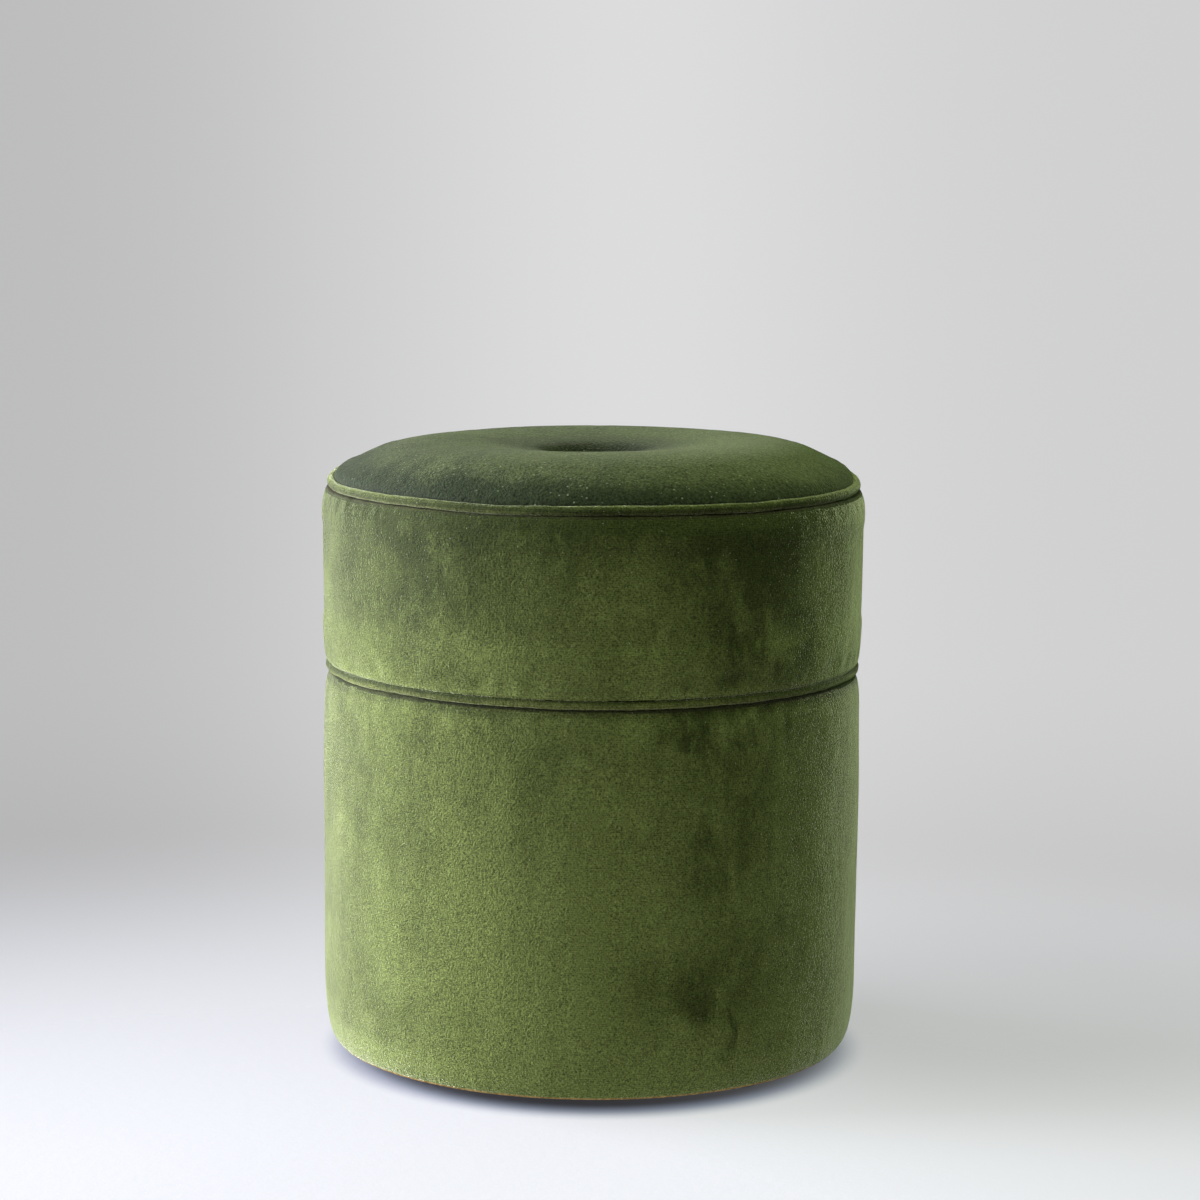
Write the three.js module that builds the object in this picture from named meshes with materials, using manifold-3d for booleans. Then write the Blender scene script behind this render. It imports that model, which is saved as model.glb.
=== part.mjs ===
// Round upholstered ottoman with a storage bay under a lift-off lid.
// Millimetres, +Z up, origin on the floor under the middle of the drum.
//
// The base is a plywood floor panel and rim ring held apart by six posts, wrapped in a hardboard
// skin, foam and velvet, lined inside and standing on four glides. The lid is a plywood board with
// a foam block and wadding in a piped velvet cover, tufted once in the middle. A smaller disc
// screwed under the board centres the lid in the mouth of the base.

import * as THREE from "three";
import { mergeVertices } from "three/addons/utils/BufferGeometryUtils.js";
import Module from "manifold-3d";

// Overall shape of the drum
const DRUM_RADIUS = 200;
const BASE_BOTTOM = 10;
const BASE_TOP = 288.3;
const FOOT_RADIUS = 189.5; // where the velvet turns under the base
const CORNER_HEIGHT = 56; // of the rounded lower edge
const CORNER_POWER = 2.2; // superellipse power of that edge

// Materials by thickness
const GAP = 0.4; // left between layers that touch on the real object
const VELVET = 1.4;
const LINING = 0.7;
const SKIN = 2.8;
const PLYWOOD = 15;
const THIN_PLYWOOD = 12;
const LINER_BOARD = 2.4;

// Base frame
const PANEL_BOTTOM = 11.7;
const FRAME_TOP = 283;
const SKIN_RADIUS = 186.2;
const FRAME_RADIUS = SKIN_RADIUS - SKIN - GAP;
const RIM_INNER_RADIUS = 165.3;
const POST_COUNT = 6;
const POST_DEPTH = 17.4;
const POST_WIDTH = 40;
const BAY_RADIUS = 160.6;
const LINER_TOP = 280;
const MOUTH_RADIUS = 163.4;
const MOUTH_FLAP_END = 269;
const HEM_INNER_RADIUS = 165;

// Glides
const GLIDE_COUNT = 4;
const GLIDE_CIRCLE = 150;
const GLIDE_HEIGHT = 8.6;
const DUST_COVER_RADIUS = 178;

// Lid
const BOARD_RADIUS = 192;
const BOARD_BOTTOM = 291.4;
const FOAM_TOP = 424;
const LOCATOR_RADIUS = 157;
const LOCATOR_BOTTOM = 276.3;
const LOCATOR_SCREWS = 6;
const LOCATOR_SCREW_CIRCLE = 120;
const UNDERSIDE_LINING_RADIUS = 186;

// Piping: radius of the ring, height of its centre, radius of the cord
const LOWER_PIPING = { ring: 195.9, height: 292.8, cord: 3.1 };
const UPPER_PIPING = { ring: 194.4, height: 427.8, cord: 3.4 };

// Crowned seat and its tuft
const CROWN_RADIUS = 192.5;
const CROWN_EDGE = 431.2;
const CROWN_RISE = 36;
const CROWN_FLATNESS = 3.3;
const CROWN_SHOULDER = 0.68;
const BOWL_DEPTH = 17.3;
const BOWL_RADIUS = 138;
const TUFT_DEPTH = 18;
const TUFT_SPREAD = 29;
const TWINE_RADIUS = 1.25;
const TWINE_HOLE = 3;

// Screws
const SHANK_RADIUS = 2;
const SCREW_HOLE = 2.5;
const POST_SCREW_LENGTH = 40;
const POST_SCREW_HEAD = 4;

// Facets round a full turn
const FACETS = 36;
const GLIDE_FACETS = 16;
const SMALL_FACETS = 8;
const CORD_FACETS = 8;

const COLOURS = {
  velvet: { color: 0x4f6b2a, roughness: 0.95, metalness: 0 },
  plywood: { color: 0xc9a271, roughness: 0.7, metalness: 0 },
  pine: { color: 0xd8b988, roughness: 0.75, metalness: 0 },
  hardboard: { color: 0x7d5a3a, roughness: 0.8, metalness: 0 },
  foam: { color: 0xe9e2c8, roughness: 0.95, metalness: 0 },
  wadding: { color: 0xf4f3ee, roughness: 1, metalness: 0 },
  lining: { color: 0x4a4a46, roughness: 0.9, metalness: 0 },
  dustCloth: { color: 0x1c1c1c, roughness: 0.95, metalness: 0 },
  plastic: { color: 0x161616, roughness: 0.45, metalness: 0 },
  steel: { color: 0xb4b6b8, roughness: 0.35, metalness: 1 },
  twine: { color: 0xcfc6a8, roughness: 0.9, metalness: 0 },
};

const wasm = await Module();
wasm.setup();

const at = (radius, height) => new THREE.Vector2(radius, height);

// A body of revolution about Z. The profile runs anticlockwise, with the radius to the right.
function revolve(profile, facets = FACETS) {
  return new THREE.LatheGeometry(profile, facets).rotateX(Math.PI / 2);
}

function ring(inner, outer, bottom, top, facets = FACETS) {
  const profile = [at(inner, bottom), at(outer, bottom), at(outer, top), at(inner, top), at(inner, bottom)];
  return revolve(profile, facets);
}

function disc(radius, bottom, top, facets = FACETS) {
  return revolve([at(0, bottom), at(radius, bottom), at(radius, top), at(0, top)], facets);
}

// The outline moved to its left by the distance, which is inwards on an upward outline.
function offset(outline, distance) {
  return outline.map((here, i) => {
    const before = outline[Math.max(i - 1, 0)];
    const after = outline[Math.min(i + 1, outline.length - 1)];
    const along = after.clone().sub(before).normalize();
    return at(here.x - along.y * distance, here.y + along.x * distance);
  });
}

// Radius of an upward outline at a height.
function radiusAt(outline, height) {
  const i = outline.findIndex((point) => point.y >= height);
  const below = outline[i - 1];
  const share = (height - below.y) / (outline[i].y - below.y);
  return below.x + (outline[i].x - below.x) * share;
}

// A skin of even thickness behind the outline.
function skin(outline, thickness) {
  const inside = offset(outline, thickness).reverse();
  return revolve([...outline, ...inside, outline[0]]);
}

function toSolid(geometry) {
  const bare = geometry.index ? geometry.toNonIndexed() : geometry.clone();
  bare.deleteAttribute("normal");
  bare.deleteAttribute("uv");
  const merged = mergeVertices(bare, 1e-3);
  const vertProperties = merged.getAttribute("position").array;
  const triVerts = new Uint32Array(merged.index.array);
  return new wasm.Manifold(new wasm.Mesh({ numProp: 3, vertProperties, triVerts }));
}

function fromSolid(solid) {
  const mesh = solid.getMesh();
  const geometry = new THREE.BufferGeometry();
  geometry.setAttribute("position", new THREE.BufferAttribute(mesh.vertProperties, 3));
  geometry.setIndex(new THREE.BufferAttribute(mesh.triVerts, 1));
  geometry.computeVertexNormals();
  return geometry;
}

function cut(geometry, cutters) {
  const cutAway = (rest, cutter) => rest.subtract(toSolid(cutter));
  return fromSolid(cutters.reduce(cutAway, toSolid(geometry)));
}

function named(name, geometry, look) {
  const mesh = new THREE.Mesh(geometry, new THREE.MeshStandardMaterial(COLOURS[look]));
  mesh.name = name;
  return mesh;
}

// Angles of evenly spaced items, in radians, starting at the given angle.
function around(count, start = 0) {
  return Array.from({ length: count }, (_, i) => start + (i * 2 * Math.PI) / count);
}

const POST_ANGLES = around(POST_COUNT, Math.PI / 6);
const POST_CIRCLE = MOUTH_RADIUS + GAP + POST_DEPTH / 2;
const GLIDE_ANGLES = around(GLIDE_COUNT, Math.PI / 4);
const LOCATOR_SCREW_ANGLES = around(LOCATOR_SCREWS);
const PANEL_TOP = PANEL_BOTTOM + PLYWOOD;
const RIM_BOTTOM = FRAME_TOP - PLYWOOD;
const LOCATOR_TOP = LOCATOR_BOTTOM + THIN_PLYWOOD;

// Upright cylinders at the angles on a circle, for drilling.
function drills(angles, circle, radius, bottom, top) {
  return angles.map((angle) =>
    disc(radius, bottom, top, SMALL_FACETS).translate(circle * Math.cos(angle), circle * Math.sin(angle), 0),
  );
}

// A countersunk wood screw with its head down, standing on z = 0.
function countersunkScrew(length) {
  const headDepth = POST_SCREW_HEAD - SHANK_RADIUS;
  const profile = [
    at(0, 0),
    at(POST_SCREW_HEAD, 0),
    at(SHANK_RADIUS, headDepth),
    at(SHANK_RADIUS, length - 3),
    at(0, length),
  ];
  return revolve(profile, SMALL_FACETS);
}

// A pan-head wood screw with its head down, standing on z = 0.
function panScrew(headRadius, headHeight, length) {
  const profile = [
    at(0, 0),
    at(headRadius - 1.2, 0),
    at(headRadius, 1),
    at(headRadius, headHeight),
    at(SHANK_RADIUS, headHeight),
    at(SHANK_RADIUS, length - 3),
    at(0, length),
  ];
  return revolve(profile, SMALL_FACETS);
}

// The outside of the base velvet: under the floor, up the wall, over the rim and down into the mouth.
function baseOutline() {
  const corner = [0.05, 0.2, 0.5, 1].map((t) => {
    const bulge = (1 - (1 - t) ** CORNER_POWER) ** (1 / CORNER_POWER);
    return at(FOOT_RADIUS + (DRUM_RADIUS - FOOT_RADIUS) * bulge, BASE_BOTTOM + CORNER_HEIGHT * t);
  });
  return [
    at(HEM_INNER_RADIUS, BASE_BOTTOM),
    at(FOOT_RADIUS - 1, BASE_BOTTOM),
    ...corner,
    at(DRUM_RADIUS + 0.4, 150),
    at(DRUM_RADIUS, 240),
    at(DRUM_RADIUS - 1.9, 280),
    at(DRUM_RADIUS - 3.6, 286),
    at(DRUM_RADIUS - 8, BASE_TOP),
    at(MOUTH_RADIUS + 3.6, BASE_TOP),
    at(MOUTH_RADIUS, 285),
    at(MOUTH_RADIUS, MOUTH_FLAP_END),
  ];
}

// The foam behind that velvet, from just above the floor hem to the inner edge of the rim.
function baseFoam() {
  const outside = offset(baseOutline(), VELVET + GAP).filter(
    (p) => p.y > PANEL_BOTTOM + GAP && p.x > RIM_INNER_RADIUS + 1 && (p.x > SKIN_RADIUS || p.y > FRAME_TOP),
  );
  const first = outside[0];
  const last = outside[outside.length - 1];
  const inner = SKIN_RADIUS + GAP;
  const underside = FRAME_TOP + GAP;
  return revolve([at(inner, first.y), ...outside, at(last.x, underside), at(inner, underside), at(inner, first.y)]);
}

function floorPanel() {
  const pilots = drills(GLIDE_ANGLES, GLIDE_CIRCLE, SCREW_HOLE, 0, 25.4);
  const postHoles = drills(POST_ANGLES, POST_CIRCLE, SCREW_HOLE, 0, 40);
  const countersinks = drills(POST_ANGLES, POST_CIRCLE, POST_SCREW_HEAD + 0.6, 0, PANEL_BOTTOM + 2.6);
  return cut(disc(FRAME_RADIUS, PANEL_BOTTOM, PANEL_TOP), [...pilots, ...postHoles, ...countersinks]);
}

function rimRing() {
  const holes = drills(POST_ANGLES, POST_CIRCLE, SCREW_HOLE, 240, 300);
  const countersinks = drills(POST_ANGLES, POST_CIRCLE, POST_SCREW_HEAD + 0.6, FRAME_TOP - 2.6, 300);
  return cut(ring(RIM_INNER_RADIUS, FRAME_RADIUS, RIM_BOTTOM, FRAME_TOP), [...holes, ...countersinks]);
}

// A post in its own frame: X is radial, and the middle of the post is the origin.
function post() {
  const height = RIM_BOTTOM - PANEL_TOP - 2 * GAP;
  const pilotDepth = POST_SCREW_LENGTH - PLYWOOD + 2;
  const pilot = (bottom) => disc(SCREW_HOLE, bottom, bottom + pilotDepth + 1, SMALL_FACETS);
  return cut(new THREE.BoxGeometry(POST_DEPTH, POST_WIDTH, height), [
    pilot(-height / 2 - 1),
    pilot(height / 2 - pilotDepth),
  ]);
}

function glide() {
  const counterbore = 6.5;
  const seat = 5;
  return revolve(
    [
      at(counterbore, 0),
      at(17, 0),
      at(19.2, 1.6),
      at(20, GLIDE_HEIGHT),
      at(SCREW_HOLE, GLIDE_HEIGHT),
      at(SCREW_HOLE, seat),
      at(counterbore, seat),
      at(counterbore, 0),
    ],
    GLIDE_FACETS,
  );
}

function buildBase() {
  const base = new THREE.Group();
  base.add(
    named("base_floor_panel", floorPanel(), "plywood"),
    named("base_rim_ring", rimRing(), "plywood"),
    named("base_skin", ring(SKIN_RADIUS - SKIN, SKIN_RADIUS, PANEL_BOTTOM, FRAME_TOP), "hardboard"),
    named("base_foam_wrap", baseFoam(), "foam"),
    named("base_velvet_cover", skin(baseOutline(), VELVET), "velvet"),
  );

  POST_ANGLES.forEach((angle, i) => {
    const bay = new THREE.Group();
    bay.rotation.z = angle;
    const upright = named(`frame_post_${i + 1}`, post(), "pine");
    upright.position.set(POST_CIRCLE, 0, (PANEL_TOP + RIM_BOTTOM) / 2);
    const lower = named(`post_screw_lower_${i + 1}`, countersunkScrew(POST_SCREW_LENGTH), "steel");
    lower.position.set(POST_CIRCLE, 0, PANEL_BOTTOM + 0.3);
    const upper = named(`post_screw_upper_${i + 1}`, countersunkScrew(POST_SCREW_LENGTH), "steel");
    upper.rotation.x = Math.PI;
    upper.position.set(POST_CIRCLE, 0, FRAME_TOP - 0.3);
    bay.add(upright, lower, upper);
    base.add(bay);
  });

  const linerBottom = PANEL_TOP + GAP;
  const linerWall = ring(BAY_RADIUS, BAY_RADIUS + LINER_BOARD, linerBottom, LINER_TOP);
  const linerFloor = disc(BAY_RADIUS - GAP, linerBottom, linerBottom + 3);
  base.add(named("bay_liner_wall", linerWall, "lining"), named("bay_liner_floor", linerFloor, "lining"));

  const clothBottom = GLIDE_HEIGHT + 0.3;
  const cloth = disc(DUST_COVER_RADIUS, clothBottom, clothBottom + LINING);
  const clothHoles = drills(GLIDE_ANGLES, GLIDE_CIRCLE, SCREW_HOLE + 0.3, 0, 20);
  base.add(named("dust_cover", cut(cloth, clothHoles), "dustCloth"));

  GLIDE_ANGLES.forEach((angle, i) => {
    const corner = new THREE.Group();
    corner.position.set(GLIDE_CIRCLE * Math.cos(angle), GLIDE_CIRCLE * Math.sin(angle), 0);
    const screw = named(`glide_screw_${i + 1}`, panScrew(4.2, 2.7, 22.5), "steel");
    screw.position.z = 2;
    corner.add(named(`glide_${i + 1}`, glide(), "plastic"), screw);
    base.add(corner);
  });
  return base;
}

// The outside of the boxing band, from the lower piping to the upper one.
function bandOutline() {
  return [
    at(DRUM_RADIUS - 3.4, 296.5),
    at(DRUM_RADIUS - 1.6, 314),
    at(DRUM_RADIUS, 345),
    at(DRUM_RADIUS + 0.4, 385),
    at(DRUM_RADIUS - 0.8, 405),
    at(DRUM_RADIUS - 4, 424.1),
  ];
}

// Height of the velvet seat at a distance from the middle: a dome sunk to a bowl, tufted in the middle.
function crown(radius) {
  const dome = (1 - (radius / CROWN_RADIUS) ** CROWN_FLATNESS) ** CROWN_SHOULDER;
  const bowl = Math.max(0, 1 - (radius / BOWL_RADIUS) ** 2);
  const tuft = Math.exp(-((radius / TUFT_SPREAD) ** 3));
  return CROWN_EDGE + CROWN_RISE * dome - BOWL_DEPTH * bowl - TUFT_DEPTH * tuft;
}

// The outside of the seat velvet, from inside the upper piping in to the twine hole.
function seatOutline() {
  const edge = UPPER_PIPING.ring - UPPER_PIPING.cord - GAP;
  const shares = [1, 0.985, 0.95, 0.88, 0.79, 0.7, 0.55, 0.4, 0.27, 0.21, 0.16, 0.11, 0.06];
  const seat = shares.map((share) => at(edge * share, crown(edge * share)));
  return [at(edge, UPPER_PIPING.height), ...seat, at(TWINE_HOLE, crown(TWINE_HOLE))];
}

function seatWadding() {
  const top = offset(seatOutline(), VELVET + GAP);
  const bottom = FOAM_TOP + GAP;
  return revolve([at(TWINE_HOLE, bottom), at(top[0].x, bottom), ...top, at(TWINE_HOLE, bottom)]);
}

function lidFoam() {
  const bottom = BOARD_BOTTOM + PLYWOOD + GAP;
  const behindBand = offset(bandOutline(), VELVET + GAP);
  const side = behindBand.filter((point) => point.y > bottom + 1 && point.y < FOAM_TOP - 3);
  return revolve([
    at(TWINE_HOLE, bottom),
    at(radiusAt(behindBand, bottom), bottom),
    ...side,
    at(BOARD_RADIUS, FOAM_TOP),
    at(TWINE_HOLE, FOAM_TOP),
    at(TWINE_HOLE, bottom),
  ]);
}

function lidBoard() {
  const anchorRecess = disc(16, 280, BOARD_BOTTOM + 6, GLIDE_FACETS);
  const twineHole = disc(TWINE_HOLE, 280, 320, SMALL_FACETS);
  const pilots = drills(LOCATOR_SCREW_ANGLES, LOCATOR_SCREW_CIRCLE, SCREW_HOLE, 280, 299);
  const board = disc(BOARD_RADIUS, BOARD_BOTTOM, BOARD_BOTTOM + PLYWOOD);
  return cut(board, [anchorRecess, twineHole, ...pilots]);
}

// The lining folded round the locating disc, open at the top.
function locatorWrap() {
  const inside = LOCATOR_RADIUS + GAP;
  const floor = LOCATOR_BOTTOM - GAP;
  const cup = revolve([
    at(0, floor - LINING),
    at(inside + LINING, floor - LINING),
    at(inside + LINING, LOCATOR_TOP),
    at(inside, LOCATOR_TOP),
    at(inside, floor),
    at(0, floor),
  ]);
  return cut(cup, drills(LOCATOR_SCREW_ANGLES, LOCATOR_SCREW_CIRCLE, SCREW_HOLE, 270, 280));
}

function piping({ ring: radius, height, cord }) {
  return new THREE.TorusGeometry(radius, cord, CORD_FACETS, FACETS).translate(0, 0, height);
}

function tuftButton() {
  const seat = crown(0) + 1;
  return revolve(
    [
      at(0, seat),
      at(6, seat + 0.3),
      at(12.4, seat + 2.2),
      at(13, seat + 4),
      at(10.4, seat + 7),
      at(5.4, seat + 9),
      at(0, seat + 9.6),
    ],
    GLIDE_FACETS,
  );
}

// The twine from the button down to a knot under the anchor.
function tuftTwine() {
  const knot = BOARD_BOTTOM + 0.5;
  return revolve(
    [
      at(0, knot),
      at(2.8, knot + 0.4),
      at(2.8, knot + 1.6),
      at(TWINE_RADIUS, knot + 2.1),
      at(TWINE_RADIUS, crown(0) + 0.5),
      at(0, crown(0) + 0.5),
    ],
    CORD_FACETS,
  );
}

function buildLid() {
  const lid = new THREE.Group();
  const liningTop = BOARD_BOTTOM - VELVET - 2 * GAP;
  const lining = disc(UNDERSIDE_LINING_RADIUS, liningTop - LINING, liningTop);
  const liningHoles = drills(LOCATOR_SCREW_ANGLES, LOCATOR_SCREW_CIRCLE, SCREW_HOLE, 280, 300);
  const locator = disc(LOCATOR_RADIUS, LOCATOR_BOTTOM, LOCATOR_TOP - 0.2);
  const locatorHoles = drills(LOCATOR_SCREW_ANGLES, LOCATOR_SCREW_CIRCLE, SCREW_HOLE, 270, 300);
  const hemOuter = LOWER_PIPING.ring - LOWER_PIPING.cord - GAP;
  const hemTop = BOARD_BOTTOM - GAP;
  const anchorBottom = BOARD_BOTTOM + 3;

  lid.add(
    named("lid_board", lidBoard(), "plywood"),
    named("lid_foam_block", lidFoam(), "foam"),
    named("seat_wadding", seatWadding(), "wadding"),
    named("seat_velvet_top", skin(seatOutline(), VELVET), "velvet"),
    named("lid_velvet_band", skin(bandOutline(), VELVET), "velvet"),
    named("upper_piping", piping(UPPER_PIPING), "velvet"),
    named("lower_piping", piping(LOWER_PIPING), "velvet"),
    named("lid_velvet_hem", ring(HEM_INNER_RADIUS, hemOuter, hemTop - VELVET, hemTop), "velvet"),
    named("lid_underside_lining", cut(lining, liningHoles), "lining"),
    named("locating_disc", cut(locator, locatorHoles), "plywood"),
    named("locating_disc_wrap", locatorWrap(), "lining"),
    named("tuft_button", tuftButton(), "velvet"),
    named("tuft_twine", tuftTwine(), "twine"),
    named("tuft_anchor", ring(1.9, 14, anchorBottom, anchorBottom + 2.5, GLIDE_FACETS), "plastic"),
  );

  LOCATOR_SCREW_ANGLES.forEach((angle, i) => {
    const screw = named(`locating_screw_${i + 1}`, panScrew(4.5, 2.8, 25.5), "steel");
    screw.position.set(
      LOCATOR_SCREW_CIRCLE * Math.cos(angle),
      LOCATOR_SCREW_CIRCLE * Math.sin(angle),
      LOCATOR_BOTTOM - GAP - LINING - GAP - 2.8,
    );
    lid.add(screw);
  });
  return lid;
}

const ottoman = new THREE.Group();
ottoman.add(buildBase(), buildLid());

export default ottoman;
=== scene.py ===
"""Looks of a round velvet storage ottoman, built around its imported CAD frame. Metres, +Z up."""

import math

import bmesh
import bpy
import numpy as np
from mathutils import Matrix, Vector, kdtree, noise

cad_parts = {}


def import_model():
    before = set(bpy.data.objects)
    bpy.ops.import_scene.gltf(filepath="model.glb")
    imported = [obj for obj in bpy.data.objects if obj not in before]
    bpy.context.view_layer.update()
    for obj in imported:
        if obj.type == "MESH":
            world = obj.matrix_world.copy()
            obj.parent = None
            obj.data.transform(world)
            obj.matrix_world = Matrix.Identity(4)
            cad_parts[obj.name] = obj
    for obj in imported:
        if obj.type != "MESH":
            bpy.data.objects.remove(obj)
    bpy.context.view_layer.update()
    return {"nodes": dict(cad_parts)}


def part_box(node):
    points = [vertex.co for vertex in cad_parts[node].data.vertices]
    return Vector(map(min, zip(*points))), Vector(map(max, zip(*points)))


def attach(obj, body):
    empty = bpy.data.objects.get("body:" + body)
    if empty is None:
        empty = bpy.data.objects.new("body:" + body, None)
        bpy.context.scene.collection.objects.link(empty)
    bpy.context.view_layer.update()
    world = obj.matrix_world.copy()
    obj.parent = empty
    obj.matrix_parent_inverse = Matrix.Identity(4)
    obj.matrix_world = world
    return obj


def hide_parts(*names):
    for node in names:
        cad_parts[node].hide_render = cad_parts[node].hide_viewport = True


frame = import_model()

MM = 0.001
TAU = 2 * math.pi
ROW_PITCH = 1.5 * MM
NODES = frame["nodes"]


# ---- sizes read from the CAD nodes


def low(node):
    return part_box(node)[0]


def high(node):
    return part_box(node)[1]


def radii(node):
    """Nearest and furthest distance of a round node's corners from the drum's axis."""
    reach = [math.hypot(v.co.x, v.co.y) for v in NODES[node].data.vertices]
    return min(reach), max(reach)


def extent(node):
    """Outer radius, bottom and top of a round node."""
    return radii(node)[1], low(node).z, high(node).z


def centre_of(node):
    lowest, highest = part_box(node)
    return (lowest + highest) / 2


def piping(node):
    """Radius of the ring, height of its middle, and radius of the cord."""
    reach, bottom, top = extent(node)
    cord = (top - bottom) / 2
    return reach - cord, (bottom + top) / 2, cord


BASE_LOW = low("base_velvet_cover").z
BASE_HIGH = high("base_velvet_cover").z
MOUTH, DRUM = radii("base_velvet_cover")
BOARD_HIGH = high("lid_board").z
BOARD = radii("lid_board")[1]
BAND_LOW = low("lid_velvet_band").z
SEAM_RING, SEAM, SEAM_CORD = piping("upper_piping")
LOWER_RING, LOWER_SEAM, LOWER_CORD = piping("lower_piping")
TUFT_SPREAD = 29 * MM
COVER_SEGMENTS = 540


# ---- mesh helpers


def new_object(name, data):
    made = bpy.data.objects.new(name, data)
    bpy.context.scene.collection.objects.link(made)
    return made


def mesh_object(name, points, faces, smooth=True):
    mesh = bpy.data.meshes.new(name)
    mesh.from_pydata([tuple(p) for p in points], [], faces)
    tidy = bmesh.new()
    tidy.from_mesh(mesh)
    bmesh.ops.recalc_face_normals(tidy, faces=tidy.faces)
    tidy.to_mesh(mesh)
    tidy.free()
    if smooth:
        mesh.shade_smooth()
    return new_object(name, mesh)


def revolve(name, profile, segments):
    """A closed body of revolution about Z. The profile is a loop, or starts and ends on the axis."""
    profile = [(float(r), float(z)) for r, z in profile]
    on_axis = profile[0][0] < 1e-9
    points, rings = [], []
    for r, z in profile:
        if r < 1e-9:
            rings.append([len(points)] * segments)
            points.append((0.0, 0.0, z))
            continue
        rings.append(list(range(len(points), len(points) + segments)))
        for k in range(segments):
            turn = TAU * k / segments
            points.append((r * math.cos(turn), r * math.sin(turn), z))
    pairs = list(zip(rings, rings[1:]))
    if not on_axis:
        pairs.append((rings[-1], rings[0]))
    faces = []
    for one, two in pairs:
        for k in range(segments):
            n = (k + 1) % segments
            faces.append(list(dict.fromkeys([one[k], one[n], two[n], two[k]])))
    return mesh_object(name, points, faces)


def corners_of(obj):
    flat = np.zeros(len(obj.data.vertices) * 3)
    obj.data.vertices.foreach_get("co", flat)
    return flat.reshape(-1, 3)


def set_corners(obj, points):
    obj.data.vertices.foreach_set("co", np.asarray(points, float).ravel())
    obj.data.update()


def corner_normals(obj):
    flat = np.zeros(len(obj.data.vertices) * 3, np.float32)
    obj.data.vertex_normals.foreach_get("vector", flat)
    return flat.reshape(-1, 3).astype(float)


def apply_modifiers(obj):
    """Replaces the mesh by what its modifiers make of it."""
    graph = bpy.context.evaluated_depsgraph_get()
    made = bpy.data.meshes.new_from_object(obj.evaluated_get(graph))
    obj.modifiers.clear()
    obj.data = made
    made.shade_smooth()


def cut_out(obj, tool, with_itself=False):
    """Takes the tool's shape out of the object, and removes the tool."""
    cut = obj.modifiers.new("cut", "BOOLEAN")
    cut.object = tool
    cut.solver = "EXACT"
    cut.use_self = with_itself
    apply_modifiers(obj)
    bpy.data.objects.remove(tool)


def polar(points):
    """Distance from the axis and the angle from the front, positive towards +X."""
    return np.hypot(points[:, 0], points[:, 1]), np.arctan2(points[:, 0], -points[:, 1])


def surface(obj):
    """Corners and normals of a round piece, with each corner's distance from the axis and angle."""
    points = corners_of(obj)
    return points, corner_normals(obj), *polar(points)


def from_back(radius, angle):
    """Distance round the drum from the middle of its back."""
    return (math.pi - np.abs(angle)) * radius


def widen(obj, points, scale):
    """Moves corners out from the axis by a scale for each, at the same height."""
    set_corners(obj, points * np.stack([scale, scale, np.ones_like(scale)], axis=1))


def waviness(points, across, along, seed):
    """Smooth noise from -1 to 1 with features of those sizes, sideways and upwards."""
    shift = Vector((seed * 7.31, seed * 3.17, seed * 1.73))
    scale = np.array([1 / across, 1 / across, 1 / along])
    return np.array([noise.noise(Vector(p) + shift) for p in points * scale])


def bell(distance, width):
    return np.exp(-((distance / width) ** 2))


def arc(centre, radius, start, end, steps):
    """Points on an arc in a profile, in degrees anticlockwise from straight out."""
    turns = np.radians(np.linspace(start, end, steps))
    return [(centre[0] + radius * math.cos(t), centre[1] + radius * math.sin(t)) for t in turns]


# ---- materials


def material(name):
    made = bpy.data.materials.new(name)
    made.use_nodes = True
    return made, made.node_tree, made.node_tree.nodes["Principled BSDF"]


def put(node, values):
    """Sets sockets of a node by name."""
    for name, value in values.items():
        node.inputs[name].default_value = value


def place(tree, scale=(1, 1, 1)):
    """Object-space position, stretched."""
    where = tree.nodes.new("ShaderNodeTexCoord")
    stretch = tree.nodes.new("ShaderNodeMapping")
    put(stretch, {"Scale": scale})
    tree.links.new(where.outputs["Object"], stretch.inputs["Vector"])
    return stretch.outputs["Vector"]


def noise_node(tree, vector, size, detail=3.0, roughness=0.5, distortion=0.0):
    made = tree.nodes.new("ShaderNodeTexNoise")
    put(made, {"Scale": 1 / size, "Detail": detail, "Roughness": roughness, "Distortion": distortion})
    tree.links.new(vector, made.inputs["Vector"])
    return made.outputs["Fac"]


def waves(tree, vector, direction, pitch, distortion=0.0, detail=2.0, detail_scale=1.0):
    """Soft bands across a direction, one to each pitch."""
    made = tree.nodes.new("ShaderNodeTexWave")
    made.bands_direction = direction
    put(made, {"Scale": TAU / (20 * pitch), "Distortion": distortion})
    put(made, {"Detail": detail, "Detail Scale": detail_scale})
    tree.links.new(vector, made.inputs["Vector"])
    return made.outputs["Fac"]


def cells(tree, vector, per_metre):
    """Distance from the middle of the nearest of many scattered cells, as a share of their size."""
    made = tree.nodes.new("ShaderNodeTexVoronoi")
    put(made, {"Scale": per_metre})
    tree.links.new(vector, made.inputs["Vector"])
    return made.outputs["Distance"]


def away_from(tree, vector, spot):
    made = tree.nodes.new("ShaderNodeVectorMath")
    made.operation = "DISTANCE"
    made.inputs[1].default_value = spot
    tree.links.new(vector, made.inputs[0])
    return made.outputs["Value"]


def axes(tree, vector):
    """The X, Y and Z of a vector."""
    made = tree.nodes.new("ShaderNodeSeparateXYZ")
    tree.links.new(vector, made.inputs[0])
    return made.outputs


def mix_shaders(tree, share, one, two):
    made = tree.nodes.new("ShaderNodeMixShader")
    for socket, value in zip(made.inputs, (share, one, two)):
        tree.links.new(value, socket)
    return made.outputs[0]


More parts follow.
